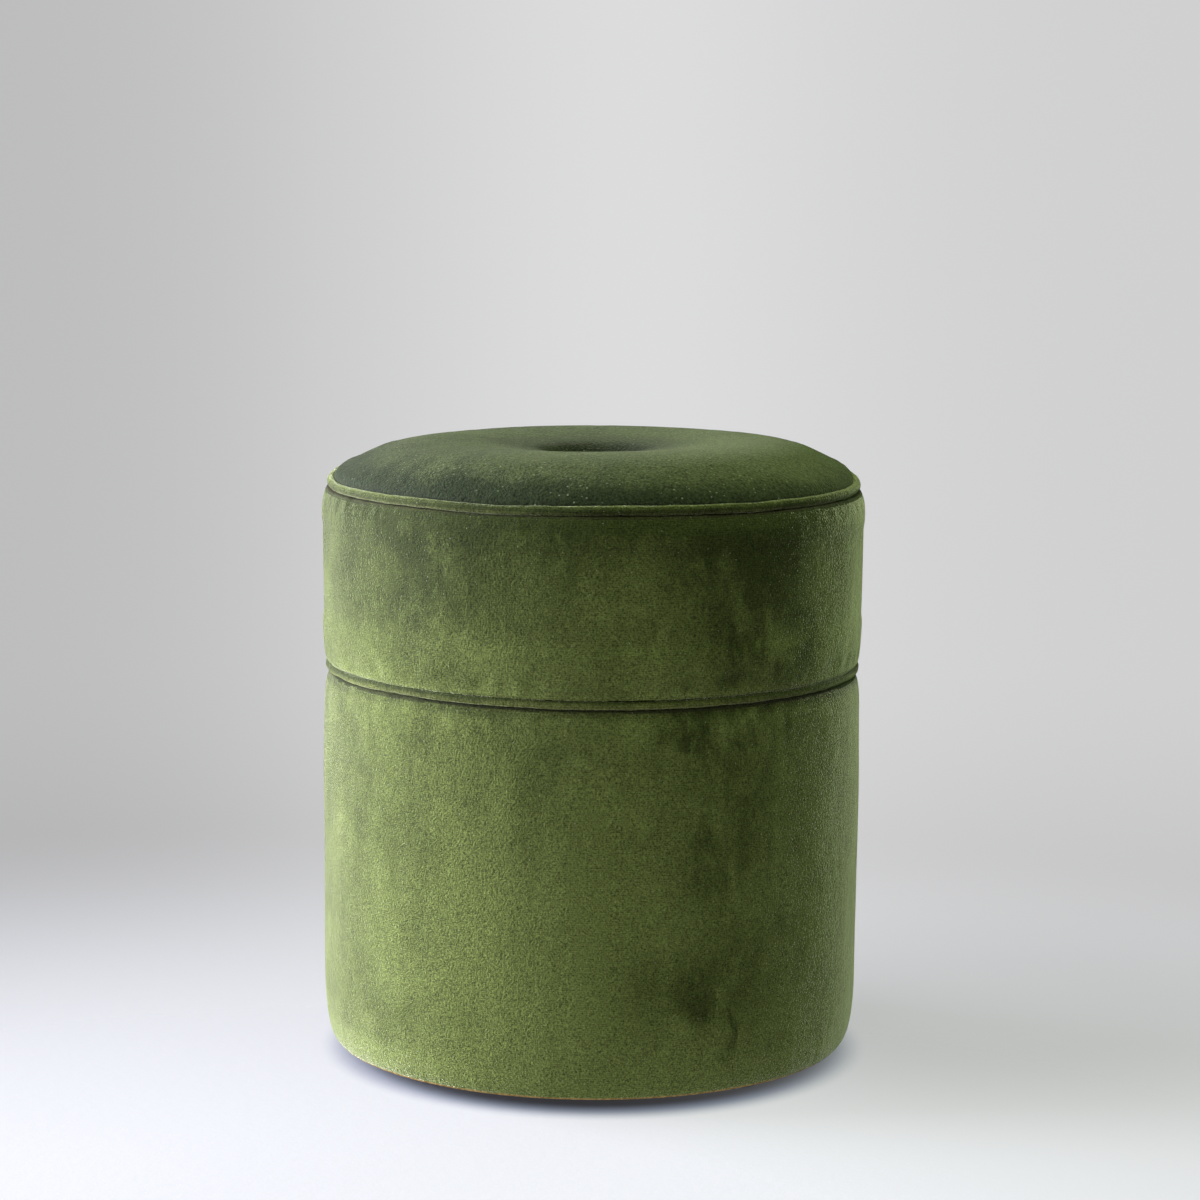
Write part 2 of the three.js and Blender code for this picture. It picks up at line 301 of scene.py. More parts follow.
def calc(tree, operation, a, b=None, c=None):
    made = tree.nodes.new("ShaderNodeMath")
    made.operation = operation
    for socket, value in zip(made.inputs, (a, b, c)):
        if value is None:
            continue
        if isinstance(value, (int, float)):
            socket.default_value = value
        else:
            tree.links.new(value, socket)
    return made.outputs[0]


def spread(tree, value, low_in, high_in, low_out=0.0, high_out=1.0):
    """Eases a value from one range into another, and holds it at the ends."""
    made = tree.nodes.new("ShaderNodeMapRange")
    made.interpolation_type = "SMOOTHSTEP"
    put(made, {"From Min": low_in, "From Max": high_in, "To Min": low_out, "To Max": high_out})
    tree.links.new(value, made.inputs["Value"])
    return made.outputs["Result"]


def blend_colours(tree, share, one, two, way="MIX"):
    """Mixes or multiplies two colours, each a tuple or an output; a plain number is a fixed share."""
    made = tree.nodes.new("ShaderNodeMix")
    made.data_type = "RGBA"
    made.blend_type = way
    for name, value in (("Factor", share), ("A", one), ("B", two)):
        socket = made.inputs[name]
        if isinstance(value, tuple):
            socket.default_value = (*value, 1)
        elif isinstance(value, float):
            socket.default_value = value
        else:
            tree.links.new(value, socket)
    return made.outputs["Result"]


def bump(tree, height, depth, before=None):
    made = tree.nodes.new("ShaderNodeBump")
    put(made, {"Strength": 1.0, "Distance": depth})
    tree.links.new(height, made.inputs["Height"])
    if before is not None:
        tree.links.new(before, made.inputs["Normal"])
    return made.outputs["Normal"]


def coat(tree, shader, colour, relief, **plain):
    """Links a colour and a relief to the shader and sets its plain sockets."""
    tree.links.new(colour, shader.inputs["Base Color"])
    tree.links.new(relief, shader.inputs["Normal"])
    put(shader, {name.replace("_", " "): value for name, value in plain.items()})


LINT = (0.36, 0.42, 0.28)


def velvet(
    name,
    dark,
    light,
    sheen=1.0,
    tint=(0.86, 1.0, 0.57),
    height_shading=(),
    waver=12 * MM,
    nap_and_light_spots=(),
    streak=0.24,
    ease=1.0,
    pile_size=1.3 * MM,
    mottle=0.24,
    row_share=0.2,
    lint=(160, 0.03, 0.09, 0.5),
    tuft=0.0,
):
    """Short-pile velvet: patches of leaning nap, streaks down the cloth, pile grain, rows and lint, and
    painted light and shade.

    height_shading: (height, shift) pairs, from low to high: painted light and shade, lighter or darker
    by height.
    waver: how far the heights of height_shading wander up and down.
    nap_and_light_spots: spots of turned nap and painted light and shade, as degrees from the front,
    height, reach and shift.
    streak: the share of the nap that runs in streaks.
    ease: a scale for the shallow unevenness of the cloth.
    mottle: the strength of the small tufts.
    row_share: how much the rows of the pile show.
    lint: cells per metre, full and faded reach within a cell, and strength.
    tuft: painted shade in the tuft's dimple: how much darker the velvet gets towards the seat's middle.
    """
    made, tree, shader = material(name)
    here = place(tree)
    patches = noise_node(tree, place(tree, (1, 1, 0.9)), 0.07, 5, 0.58, 0.5)
    streaks = noise_node(tree, place(tree, (1, 1, 0.4)), 0.02, 4, 0.6, 0.4)
    pile = noise_node(tree, here, pile_size, 1, 0.7)
    tufts = noise_node(tree, place(tree, (1, 1, 0.7)), 5 * MM, 3, 0.6)
    rows = waves(tree, here, "Z", ROW_PITCH, 1.6, 2, 1.6)

    nap_and_shading = calc(tree, "MULTIPLY_ADD", streaks, streak, calc(tree, "MULTIPLY", patches, 0.76))
    nap_and_shading = calc(tree, "ADD", nap_and_shading, (0.24 - streak) / 2)
    nap_and_shading = calc(tree, "MULTIPLY_ADD", tufts, mottle, calc(tree, "SUBTRACT", nap_and_shading, mottle / 2))
    wander = calc(tree, "SUBTRACT", streaks, 0.5)
    height = calc(tree, "MULTIPLY_ADD", wander, waver, axes(tree, here)["Z"])
    # Painted light and shade by height.
    for (low_z, low_shift), (high_z, high_shift) in zip(height_shading, height_shading[1:]):
        nap_and_shading = calc(tree, "ADD", nap_and_shading, spread(tree, height, low_z, high_z, 0.0, high_shift - low_shift))
    if height_shading:
        nap_and_shading = calc(tree, "ADD", nap_and_shading, height_shading[0][1])
    ragged = calc(tree, "ADD", patches, calc(tree, "SUBTRACT", streaks, 1.0))
    # Spots partly of turned nap and partly of painted light and shade.
    for turn, level, reach, shift in nap_and_light_spots:
        side, front = math.sin(math.radians(turn)), math.cos(math.radians(turn))
        gap = away_from(tree, here, (DRUM * side, -DRUM * front, level))
        gap = calc(tree, "MULTIPLY_ADD", ragged, 0.1, gap)
        nap_and_shading = calc(tree, "ADD", nap_and_shading, spread(tree, gap, 0.15 * reach, reach, shift, 0.0))
    colour = blend_colours(tree, spread(tree, nap_and_shading, 0.14, 0.88), dark, light)
    # Painted shade in the tuft's dimple: the velvet darkens towards the seat's middle.
    if tuft:
        gap = away_from(tree, place(tree, (1, 1, 0)), (0, 0, 0))
        drawn = spread(tree, gap, TUFT_SPREAD, 3.2 * TUFT_SPREAD, tuft, 0.0)
        colour = blend_colours(tree, drawn, colour, tuple(c / 3 for c in dark))

    grain = calc(tree, "MULTIPLY_ADD", pile, 2.6, -0.3 - row_share / 2)
    grain = calc(tree, "MULTIPLY_ADD", rows, row_share, grain)
    colour = blend_colours(tree, 1.0, colour, grain, "MULTIPLY")
    per_metre, full, faded, strength = lint
    dust = spread(tree, cells(tree, here, per_metre), full, faded, strength, 0.0)
    colour = blend_colours(tree, dust, colour, LINT)

    relief = bump(tree, patches, 2.0 * MM * ease)
    relief = bump(tree, streaks, 0.8 * MM * ease, relief)
    relief = bump(tree, pile, 0.8 * pile_size, relief)
    if row_share:
        relief = bump(tree, rows, 0.06 * MM, relief)
    coat(tree, shader, colour, relief, Roughness=0.85, Specular_IOR_Level=0.1)
    put(shader, {"Sheen Weight": sheen, "Sheen Roughness": 0.225, "Sheen Tint": (*tint, 1)})
    return made


def backing(name, dark, light):
    """The velvet's bare backing with its threads, seen along folds; made near-black, it is also painted
    shade deep in the seams.
    """
    made, tree, shader = material(name)
    threads = noise_node(tree, place(tree), 2.5 * MM, 3, 0.6)
    colour = blend_colours(tree, spread(tree, threads, 0.35, 0.65), dark, light)
    coat(tree, shader, colour, bump(tree, threads, 0.1 * MM), Roughness=0.9, Specular_IOR_Level=0.1)
    return made


def cloth(name, dark, light, pitch):
    """A plain weave with slubs: threads across all three axes, so that it shows on floors and walls."""
    made, tree, shader = material(name)
    here = place(tree)
    across, along, up = (waves(tree, here, direction, pitch, 0.6, 1) for direction in "XYZ")
    weave = calc(tree, "DIVIDE", calc(tree, "ADD", calc(tree, "ADD", across, along), up), 3.0)
    slubs = noise_node(tree, here, 0.012, 5, 0.6)
    share = calc(tree, "MULTIPLY_ADD", slubs, 0.8, calc(tree, "MULTIPLY", weave, 0.4))
    colour = blend_colours(tree, spread(tree, share, 0.35, 0.85), dark, light)
    relief = bump(tree, slubs, 0.4 * MM, bump(tree, weave, 0.25 * MM))
    coat(tree, shader, colour, relief, Roughness=0.9, Specular_IOR_Level=0.2, Sheen_Weight=0.15)
    return made


def felted(name, dark, light, size, depth):
    """Matted or pressed stuff: pores and fibres with no direction."""
    made, tree, shader = material(name)
    here = place(tree)
    pores = cells(tree, here, 1 / size)
    share = calc(tree, "MULTIPLY_ADD", pores, 0.5, noise_node(tree, here, size * 14, 5, 0.6))
    colour = blend_colours(tree, spread(tree, share, 0.45, 1.05), dark, light)
    coat(tree, shader, colour, bump(tree, pores, depth), Roughness=0.95, Specular_IOR_Level=0.15)
    return made


def timber(name, dark, light, stretch, plies=0.0):
    """Wood with long grain; plies is the thickness of plywood layers, shown on its edges by height."""
    made, tree, shader = material(name)
    grain = noise_node(tree, place(tree, stretch), 0.006, 6, 0.65, 0.6)
    figure = noise_node(tree, place(tree, stretch), 0.05, 3, 0.5, 1.2)
    share = calc(tree, "MULTIPLY_ADD", figure, 0.6, calc(tree, "MULTIPLY", grain, 0.5))
    colour = blend_colours(tree, spread(tree, share, 0.35, 0.75), dark, light)
    if plies:
        layers = waves(tree, place(tree), "Z", 2 * plies)
        facing = tree.nodes.new("ShaderNodeNewGeometry")
        upright = calc(tree, "ABSOLUTE", axes(tree, facing.outputs["Normal"])["Z"])
        side = spread(tree, upright, 0.3, 0.7, 0.55, 0.0)
        lines = calc(tree, "MULTIPLY", side, spread(tree, layers, 0.35, 0.65))
        colour = blend_colours(tree, lines, colour, dark)
    coat(tree, shader, colour, bump(tree, grain, 0.15 * MM), Roughness=0.62)
    return made


def moulded(name, colour, texture):
    """Moulded plastic with a fine spark-eroded texture."""
    made, tree, shader = material(name)
    here = place(tree)
    fine = noise_node(tree, here, texture, 3, 0.6)
    cloud = noise_node(tree, here, 0.02, 3, 0.5)
    tint = blend_colours(tree, cloud, tuple(c * 0.8 for c in colour), tuple(c * 1.25 for c in colour))
    coat(tree, shader, tint, bump(tree, fine, 0.06 * MM))
    tree.links.new(spread(tree, fine, 0.3, 0.7, 0.38, 0.52), shader.inputs["Roughness"])
    return made


def metal(name, colour):
    """Zinc-plated steel with small scratches and a cloudy finish."""
    made, tree, shader = material(name)
    scratches = noise_node(tree, place(tree, (1, 6, 1)), 0.0008, 4, 0.6)
    cloud = noise_node(tree, place(tree), 0.003, 3, 0.5)
    tint = blend_colours(tree, cloud, tuple(c * 0.86 for c in colour), colour)
    coat(tree, shader, tint, bump(tree, scratches, 0.02 * MM), Metallic=1.0)
    tree.links.new(spread(tree, scratches, 0.3, 0.7, 0.25, 0.42), shader.inputs["Roughness"])
    return made


def twisted(name, dark, light):
    """Waxed twine with the slant of its strands."""
    made, tree, shader = material(name)
    lay = waves(tree, place(tree), "DIAGONAL", 2.856 * MM)
    coat(tree, shader, blend_colours(tree, lay, dark, light), bump(tree, lay, 0.2 * MM), Roughness=0.6)
    return made


# Painted light and shade on the base by height: lighter towards the foot as painted bounce light from
# the floor, darker just under the lid as painted shade.
WALL_SHADING = [
    (BASE_LOW + 3 * MM, 0.5),
    (BASE_LOW + 14 * MM, 0.36),
    (BASE_LOW + 30 * MM, 0.12),
    (BASE_LOW + 52 * MM, 0.03),
    (0.2, 0.0),
    (BASE_HIGH - 9 * MM, 0.0),
    (BASE_HIGH - 3 * MM, -0.14),
]
# Spots on the base, partly turned nap and partly painted light and shade: degrees from the front,
# height, reach and shift.
WALL_NAP_AND_LIGHT = [
    (-10, 0.19, 0.12, 0.15),
    (-8, 0.115, 0.12, 0.15),
    (-16, 0.045, 0.1, 0.14),
    (-35, 0.12, 0.09, 0.07),
    (14, 0.15, 0.06, 0.07),
    (51, 0.16, 0.08, 0.08),
    (68, 0.15, 0.15, 0.12),
    (-60, 0.18, 0.1, 0.07),
    (26, 0.286, 0.035, -0.12),
    (-3, 0.05, 0.06, 0.1),
    (45, 0.045, 0.05, 0.14),
    (16, 0.08, 0.05, -0.12),
    (28, 0.034, 0.03, -0.3),
    (30, 0.185, 0.04, -0.1),
    (38, 0.278, 0.03, -0.12),
    (18, 0.28, 0.025, -0.1),
]
# Painted light and shade on the band by height: a painted highlight on the roll at its foot, darker up
# towards the upper piping as painted shade.
BAND_SHADING = [
    (BAND_LOW, 0.36),
    (BAND_LOW + 4 * MM, 0.06),
    (BAND_LOW + 30 * MM, 0.0),
    (0.35, -0.06),
    (0.38, -0.14),
    (SEAM - 22 * MM, -0.2),
    (SEAM - 8 * MM, -0.42),
]
# Spots on the band, partly turned nap and partly painted light and shade: degrees from the front,
# height, reach and shift.
BAND_NAP_AND_LIGHT = [
    (-34, 0.388, 0.055, -0.13),
    (-45, 0.414, 0.03, -0.1),
    (-54, 0.36, 0.07, 0.04),
    (-15, 0.385, 0.045, 0.1),
    (5, 0.375, 0.055, 0.2),
    (18, 0.352, 0.035, 0.08),
    (38, 0.365, 0.06, -0.16),
    (63, 0.305, 0.045, 0.12),
    (68, 0.37, 0.11, 0.12),
    (27, 0.422, 0.045, -0.12),
    (33, 0.308, 0.05, -0.1),
    (9, 0.306, 0.04, 0.12),
    (26, 0.308, 0.03, -0.12),
    (46, 0.332, 0.03, -0.1),
    (42, 0.414, 0.035, -0.15),
    (50, 0.378, 0.03, 0.12),
]
# Painted light and shade across the upper piping: painted highlights along its top and bottom edges, a
# darker middle.
UPPER_WELT_SHADING = [
    (SEAM - SEAM_CORD, 0.1),
    (SEAM - 0.3 * SEAM_CORD, -0.24),
    (SEAM + 0.3 * SEAM_CORD, -0.16),
    (SEAM + SEAM_CORD, 0.18),
]
# Painted light and shade across the lower piping: a painted highlight along its lower edge, painted
# shade over its upper half.
LOWER_WELT_SHADING = [
    (LOWER_SEAM - 0.95 * LOWER_CORD, 0.55),
    (LOWER_SEAM - 0.6 * LOWER_CORD, 0.02),
    (LOWER_SEAM + 0.9 * LOWER_CORD, -0.42),
]
# Painted shade low on the seat: darker at its edge and down in the tuft, lighter higher up.
SEAT_SHADING = [(SEAM + 4 * MM, -0.36), (SEAM + 26 * MM, 0.07)]
# Spots on the seat, partly turned nap and partly painted light and shade: lighter on the right, darker
# on the left.
SEAT_NAP_AND_LIGHT = [(75, 0.45, 0.26, 0.3), (-78, 0.45, 0.2, -0.14)]
VELVET_DARK = (0.024, 0.036, 0.006)
VELVET_LIGHT = (0.122, 0.165, 0.04)
VELVET_WALL = velvet(
    "velvet_wall",
    VELVET_DARK,
    VELVET_LIGHT,
    tint=(0.9, 1.0, 0.65),
    height_shading=WALL_SHADING,
    nap_and_light_spots=WALL_NAP_AND_LIGHT,
    streak=0.5,
)
VELVET_BAND = velvet("velvet_band", VELVET_DARK, VELVET_LIGHT, height_shading=BAND_SHADING, nap_and_light_spots=BAND_NAP_AND_LIGHT)
# A darker, duller copy of the velvet: painted shade in the seam under the upper piping and on the base's
# rim under the lid.
SHADE_VELVET = velvet("velvet_painted_shade", (0.012, 0.016, 0.004), (0.04, 0.054, 0.013), sheen=0.12)
# The seat's velvet is darker and less shiny than the walls': painted shade on the top.
SEAT_VELVET_SHADED = velvet(
    "velvet_seat_painted_shade",
    (0.013, 0.021, 0.007),
    (0.052, 0.069, 0.026),
    sheen=0.09,
    height_shading=SEAT_SHADING,
    nap_and_light_spots=SEAT_NAP_AND_LIGHT,
    ease=0.3,
    pile_size=1.9 * MM,
    mottle=0.4,
    row_share=0,
    lint=(170, 0.06, 0.15, 0.28),
    tuft=0.85,
)
UPPER_WELT_VELVET = velvet(
    "upper_welt_velvet",
    (0.022, 0.032, 0.006),
    (0.1, 0.13, 0.035),
    sheen=0.5,
    height_shading=UPPER_WELT_SHADING,
    waver=1 * MM,
)
# Its light colour is brighter than the walls' to carry the painted highlight along the lower edge.
LOWER_WELT_VELVET = velvet(
    "lower_welt_velvet",
    (0.024, 0.036, 0.006),
    (0.14, 0.175, 0.045),
    sheen=0.5,
    height_shading=LOWER_WELT_SHADING,
    waver=1 * MM,
)
# Near-black velvet backing: painted shade deep in the seams.
SEAM_SHADE = backing("seam_painted_shade", (0.007, 0.008, 0.001), (0.022, 0.022, 0.004))
FOLD_GROUND = backing("fold_ground", (0.2, 0.13, 0.035), (0.36, 0.26, 0.09))
LINING = cloth("lining_cloth", (0.018, 0.018, 0.017), (0.052, 0.052, 0.048), 0.7 * MM)
DUST_CLOTH = felted("dust_cloth", (0.006, 0.006, 0.006), (0.028, 0.028, 0.029), 1.4 * MM, 0.15 * MM)
PLYWOOD = timber("plywood", (0.42, 0.27, 0.13), (0.72, 0.52, 0.31), (0.12, 1, 1), 1.5 * MM)
PINE = timber("pine", (0.55, 0.36, 0.17), (0.8, 0.62, 0.38), (1, 1, 0.08))
HARDBOARD = felted("hardboard", (0.13, 0.07, 0.035), (0.26, 0.15, 0.08), 0.9 * MM, 0.05 * MM)
PLASTIC = moulded("glide_plastic", (0.022, 0.022, 0.023), 0.5 * MM)
STEEL = metal("zinc_steel", (0.66, 0.67, 0.69))
TWINE = twisted("twine", (0.36, 0.3, 0.19), (0.62, 0.55, 0.4))

CARRIED_OVER = {
    "base_floor_panel": PLYWOOD,
    "base_rim_ring": PLYWOOD,
    "base_skin": HARDBOARD,
    "lid_board": PLYWOOD,
    "locating_disc": PLYWOOD,
    "tuft_twine": TWINE,
    "tuft_anchor": PLASTIC,
    **{name: PINE for name in NODES if name.startswith("frame_post_")},
    **{name: STEEL for name in NODES if name.startswith("post_screw_")},
}


def finish_piece(obj, body, look, slot, *stands_for):
    obj.data.materials.clear()
    obj.data.materials.append(look)
    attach(obj, body)
    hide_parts(*stands_for)


# ---- lid cushion

CROWN_RADIUS = SEAM_RING - 1.9 * MM
CROWN_EDGE = SEAM + 3.4 * MM
CROWN_RISE = 37.3 * MM
BOWL_DEPTH = 17.2 * MM
BOWL_RADIUS = 165 * MM
TUFT_DEPTH = 19 * MM
LOPSIDED = 0.008
VOXEL = 5 * MM
SEAM_REACH = 6 * MM
TUFT_REACH = 15 * MM
BULGE_CAP = 1.4 * MM
SEAT_SLACK = 0.3
NEAREST = 5


def crown(radius):
    """Height of the seat's velvet at a distance from the middle: a dome, sunk to a bowl and tufted."""
    radius = np.asarray(radius, float)
    dome = (1 - np.clip(radius / CROWN_RADIUS, 0, 1) ** 3.3) ** 0.68
    bowl = np.clip(1 - (radius / BOWL_RADIUS) ** 2, 0, 1) ** 2
    tuft = np.exp(-((radius / TUFT_SPREAD) ** 3))
    return CROWN_EDGE + CROWN_RISE * dome - BOWL_DEPTH * bowl - TUFT_DEPTH * tuft


BAND_TOP = SEAM - SEAM_CORD
BAND_FOOT = BAND_LOW - 1.6 * MM


def band_radius(height):
    """Radius of the boxing band: fullest above its middle and rolled in to both seams."""
    height = np.asarray(height, float)
    foot, full = DRUM - 1.7 * MM, DRUM + 0.4 * MM
    share = np.clip((height - BAND_FOOT) / (BAND_TOP - BAND_FOOT), 0, 1)
    body = full - (full - foot) * (1 - np.minimum(1, share / 0.76)) ** 2
    low_roll = 1 - np.minimum(1, np.maximum(0, height - BAND_FOOT) / (4.5 * MM))
    high_roll = 1 - np.minimum(1, np.maximum(0, BAND_TOP - height) / (16 * MM))
    tuck = 3.2 * MM * (1 - np.sqrt(1 - low_roll**2)) + 4.4 * MM * (1 - np.sqrt(1 - high_roll**2.4))
    return body - tuck


def cushion_profile(steps):
    """From under the foam out to the lower seam, up the band, over the upper seam and in to the tuft."""
    inner = BOARD + 0.5 * MM
    tuck = LOWER_SEAM + 0.6 * LOWER_CORD
    bed = BOARD_HIGH + 0.6 * MM
    under = [(0, bed), (inner, bed), (inner, tuck), (LOWER_RING - 1 * MM, tuck)]
    shares = 0.5 - 0.5 * np.cos(np.linspace(0.06, 0.985, steps) * math.pi)
    heights = BAND_FOOT + (BAND_TOP - BAND_FOOT) * shares
    band = [(float(band_radius(z)), float(z)) for z in heights]
    neck = [
        (SEAM_RING - 0.5 * MM, BAND_TOP + 1 * MM),
        (CROWN_RADIUS - 0.2 * MM, SEAM),
        (CROWN_RADIUS, CROWN_EDGE),
    ]
    inward = 1 - np.linspace(0, 1, steps * 2) ** 1.5
    seat = [(float(CROWN_RADIUS * k), float(crown(CROWN_RADIUS * k))) for k in inward[1:]]
    seat[-1] = (0, seat[-1][1])
    return under + band + neck + seat


def simulate(obj, pins):
    """Blows the cover up between its pinned seams and applies the result."""
    group = obj.vertex_groups.new(name="pins")
    for index in np.flatnonzero(pins > 0):
        group.add([int(index)], float(pins[index]), "REPLACE")
    soft = obj.modifiers.new("cloth", "CLOTH")
    settings = soft.settings
    settings.quality = 6
    settings.mass = 0.35
    settings.tension_stiffness = 14
    settings.compression_stiffness = 14
    settings.shear_stiffness = 6
    settings.bending_stiffness = 1.2
    settings.use_pressure = True
    settings.uniform_pressure_force = 4
    settings.shrink_min = -0.02
    settings.vertex_group_mass = "pins"
    settings.effector_weights.gravity = 0
    soft.collision_settings.use_collision = False
    scene = bpy.context.scene
    for step in range(1, 21):
        scene.frame_set(step)
    apply_modifiers(obj)
    scene.frame_set(1)


def unevenness(start, moved, along, bins=48):
    """The moves without the part that is the same all the way round, which the profile already has."""
    order = np.clip(((along - along.min()) / np.ptp(along) * bins).astype(int), 0, bins - 1)
    shifts = moved - start
    radius, _ = polar(start)
    out = np.where(radius[:, None] > 1e-6, start[:, :2] / np.maximum(radius, 1e-6)[:, None], 0)
    radial = (shifts[:, :2] * out).sum(1)
    even = np.zeros_like(shifts)
    for k in range(bins):
        mine = order == k
        if mine.any():
            even[mine, :2] = radial[mine].mean() * out[mine]
            even[mine, 2] = shifts[mine, 2].mean()
    return shifts - even


def blown_up():
    """Points on the cushion's skin, and how far each one moves when the cover is simulated."""
    obj = revolve("blown_up", cushion_profile(24), 120)
    remesh = obj.modifiers.new("even", "REMESH")
    remesh.mode = "VOXEL"
    remesh.voxel_size = VOXEL
    apply_modifiers(obj)
    start = corners_of(obj)
    radius, _ = polar(start)
    seam = np.hypot(radius - SEAM_RING, start[:, 2] - SEAM)
    on_board = (start[:, 2] < BOARD_HIGH + 3 * MM) & (radius < BOARD + 2 * MM)
    at_foot = start[:, 2] < BAND_FOOT + 3 * MM
    tuft = (radius < TUFT_REACH) & (start[:, 2] > SEAM - 10 * MM)
    simulate(obj, np.where(on_board | at_foot | tuft | (seam < SEAM_REACH), 1.0, 0.0))
    along = np.where(start[:, 2] > SEAM, 1 + (CROWN_RADIUS - radius) / CROWN_RADIUS, start[:, 2])
    shift = unevenness(start, corners_of(obj), along)
    length = np.linalg.norm(shift, axis=1)
    shift *= (BULGE_CAP / (BULGE_CAP + length))[:, None]
    bpy.data.objects.remove(obj)
    return start, shift


def carried(points, start, shift):
    """The shift at each point, from the nearest simulated ones."""
    tree = kdtree.KDTree(len(start))
    for index, spot in enumerate(start):
        tree.insert(spot, index)
    tree.balance()
    moved = np.zeros_like(points)
    for k, point in enumerate(points):
        near = tree.find_n(point, NEAREST)
        weights = np.array([1 / (distance + 1 * MM) ** 2 for _, _, distance in near])
        moved[k] = (shift[[index for _, index, _ in near]] * weights[:, None]).sum(0) / weights.sum()
    return moved


SEAM_LIFTS = [(-108, 5, 20), (105, 4, 18), (-20, -1.3, 12), (33, -0.8, 10)]
SEAM_DROP = 0.6 * MM
SHOULDER_DROPS = [(90, 2.2, 30), (-90, 1.8, 30)]
LOWER_SAGS = [(8, 0.9, 30)]


def swells(angle, table):
    """Swells round the axis, each given as degrees from the front, millimetres and width in degrees."""
    turned = ((size, angle - math.radians(turn), math.radians(wide)) for turn, size, wide in table)
    return MM * sum(size * bell(gap, wide) for size, gap, wide in turned)


def settled(points):
    """The lid as it has settled: the seat lower at one side, the seams uneven, the shoulders dropped."""
    radius, angle = polar(points)
    above = np.clip((points[:, 2] - SEAM) / (15 * MM), 0, 1)
    lift = LOPSIDED * points[:, 0] * above
    at_seam = bell(points[:, 2] - SEAM, 20 * MM) * (radius > 0.16)
    lift += (swells(angle, SEAM_LIFTS) - SEAM_DROP) * at_seam
    shoulder = CROWN_RADIUS - 2 * MM - radius
    at_shoulder = np.clip(shoulder / (8 * MM), 0, 1) * bell(shoulder - 12 * MM, 20 * MM) * above
    lift -= swells(angle, SHOULDER_DROPS) * at_shoulder
    at_foot = bell(points[:, 2] - LOWER_SEAM, 12 * MM) * (radius > BOARD + 1 * MM)
    lift -= swells(angle, LOWER_SAGS) * at_foot
    return points + np.stack([np.zeros_like(lift), np.zeros_like(lift), lift], axis=1)


def lid_cushion():
    obj = revolve("lid_cushion", cushion_profile(60), COVER_SEGMENTS)
    points = corners_of(obj)
    moved = carried(points, *blown_up())
    moved *= np.where(points[:, 2] > SEAM, SEAT_SLACK, 1)[:, None]
    set_corners(obj, points + moved)
    shape_cushion(obj)
    set_corners(obj, settled(corners_of(obj)))
    for look in (VELVET_BAND, SEAT_VELVET_SHADED, SEAM_SHADE, SHADE_VELVET):
        obj.data.materials.append(look)
    mark_faces(obj)
    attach(obj, "lid")
    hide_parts("seat_velvet_top", "seat_wadding", "lid_foam_block", "lid_velvet_band")


def shape_cushion(obj):
    """Puckers under the piping, folds round the tuft, and the upright seam at the back."""
    points, normals, radius, angle = surface(obj)
    flat = points * [1, 1, 0]
    on_band = (points[:, 2] < BAND_TOP) & (points[:, 2] > BAND_FOOT + 0.5 * MM)
    on_band &= radius > BOARD + 2 * MM
    on_seat = (points[:, 2] > SEAM) & (radius < CROWN_RADIUS)

    below = BAND_TOP - points[:, 2]
    pucker = waviness(flat, 9 * MM, 1, 2) + 0.6 * waviness(flat, 5 * MM, 1, 3)
    patchy = np.clip(0.35 + 1.1 * waviness(flat, 80 * MM, 1, 4), 0, 1)
    patchy += 1.1 * bell(angle + math.radians(60), math.radians(16))
    move = 0.9 * MM * pucker * patchy * bell(below - 6 * MM, 10 * MM)
    above = points[:, 2] - BAND_FOOT
    move += 0.25 * MM * waviness(flat, 11 * MM, 1, 5) * bell(above - 4 * MM, 9 * MM)
    move += 0.5 * MM * waviness(points, 60 * MM, 50 * MM, 6)
    back = from_back(radius, angle)
    move -= 1.5 * MM * bell(back, 1.8 * MM) - 0.35 * MM * bell(back - 6 * MM, 4 * MM)
    move = np.where(on_band, move, 0)

    folds = np.cos(9 * angle + 1.5 * waviness(flat, 60 * MM, 1, 7)) + 0.5 * np.cos(14 * angle + 1)
    near = bell(radius - 22 * MM, 14 * MM) * np.clip(radius / (15 * MM), 0, 1)
    seat_move = 0.35 * MM * folds * near + 0.35 * MM * waviness(points, 90 * MM, 90 * MM, 8)
    edge = CROWN_RADIUS - radius
    seat_move += 0.25 * MM * waviness(flat, 8 * MM, 1, 9) * bell(edge - 3 * MM, 7 * MM)
    move = np.where(on_seat, seat_move, move)
    set_corners(obj, points + normals * move[:, None])


def mark_faces(obj):
    """Gives the seat its darker velvet, and the faces down in the seams painted shade: a darker, duller
    velvet, and a near-black one deepest in.
    """
    seat, deep_shade_slot, pressed = 1, 2, 3
    for face in obj.data.polygons:
        centre = face.center
        radius = math.hypot(centre.x, centre.y)
        if centre.z > SEAM and radius < SEAM_RING:
            face.material_index = seat
        # Painted shade down under the upper piping: the darker, duller velvet, and near-black deepest
        # in.
        if BAND_TOP - 3.2 * MM < centre.z < SEAM and radius > CROWN_RADIUS - 1 * MM:
            face.material_index = pressed if centre.z < BAND_TOP - 1.2 * MM else deep_shade_slot
        # Painted shade at the band's foot, in the lower seam: near-black.
        if centre.z < BAND_FOOT + 0.7 * MM:
            face.material_index = deep_shade_slot


# ---- piping


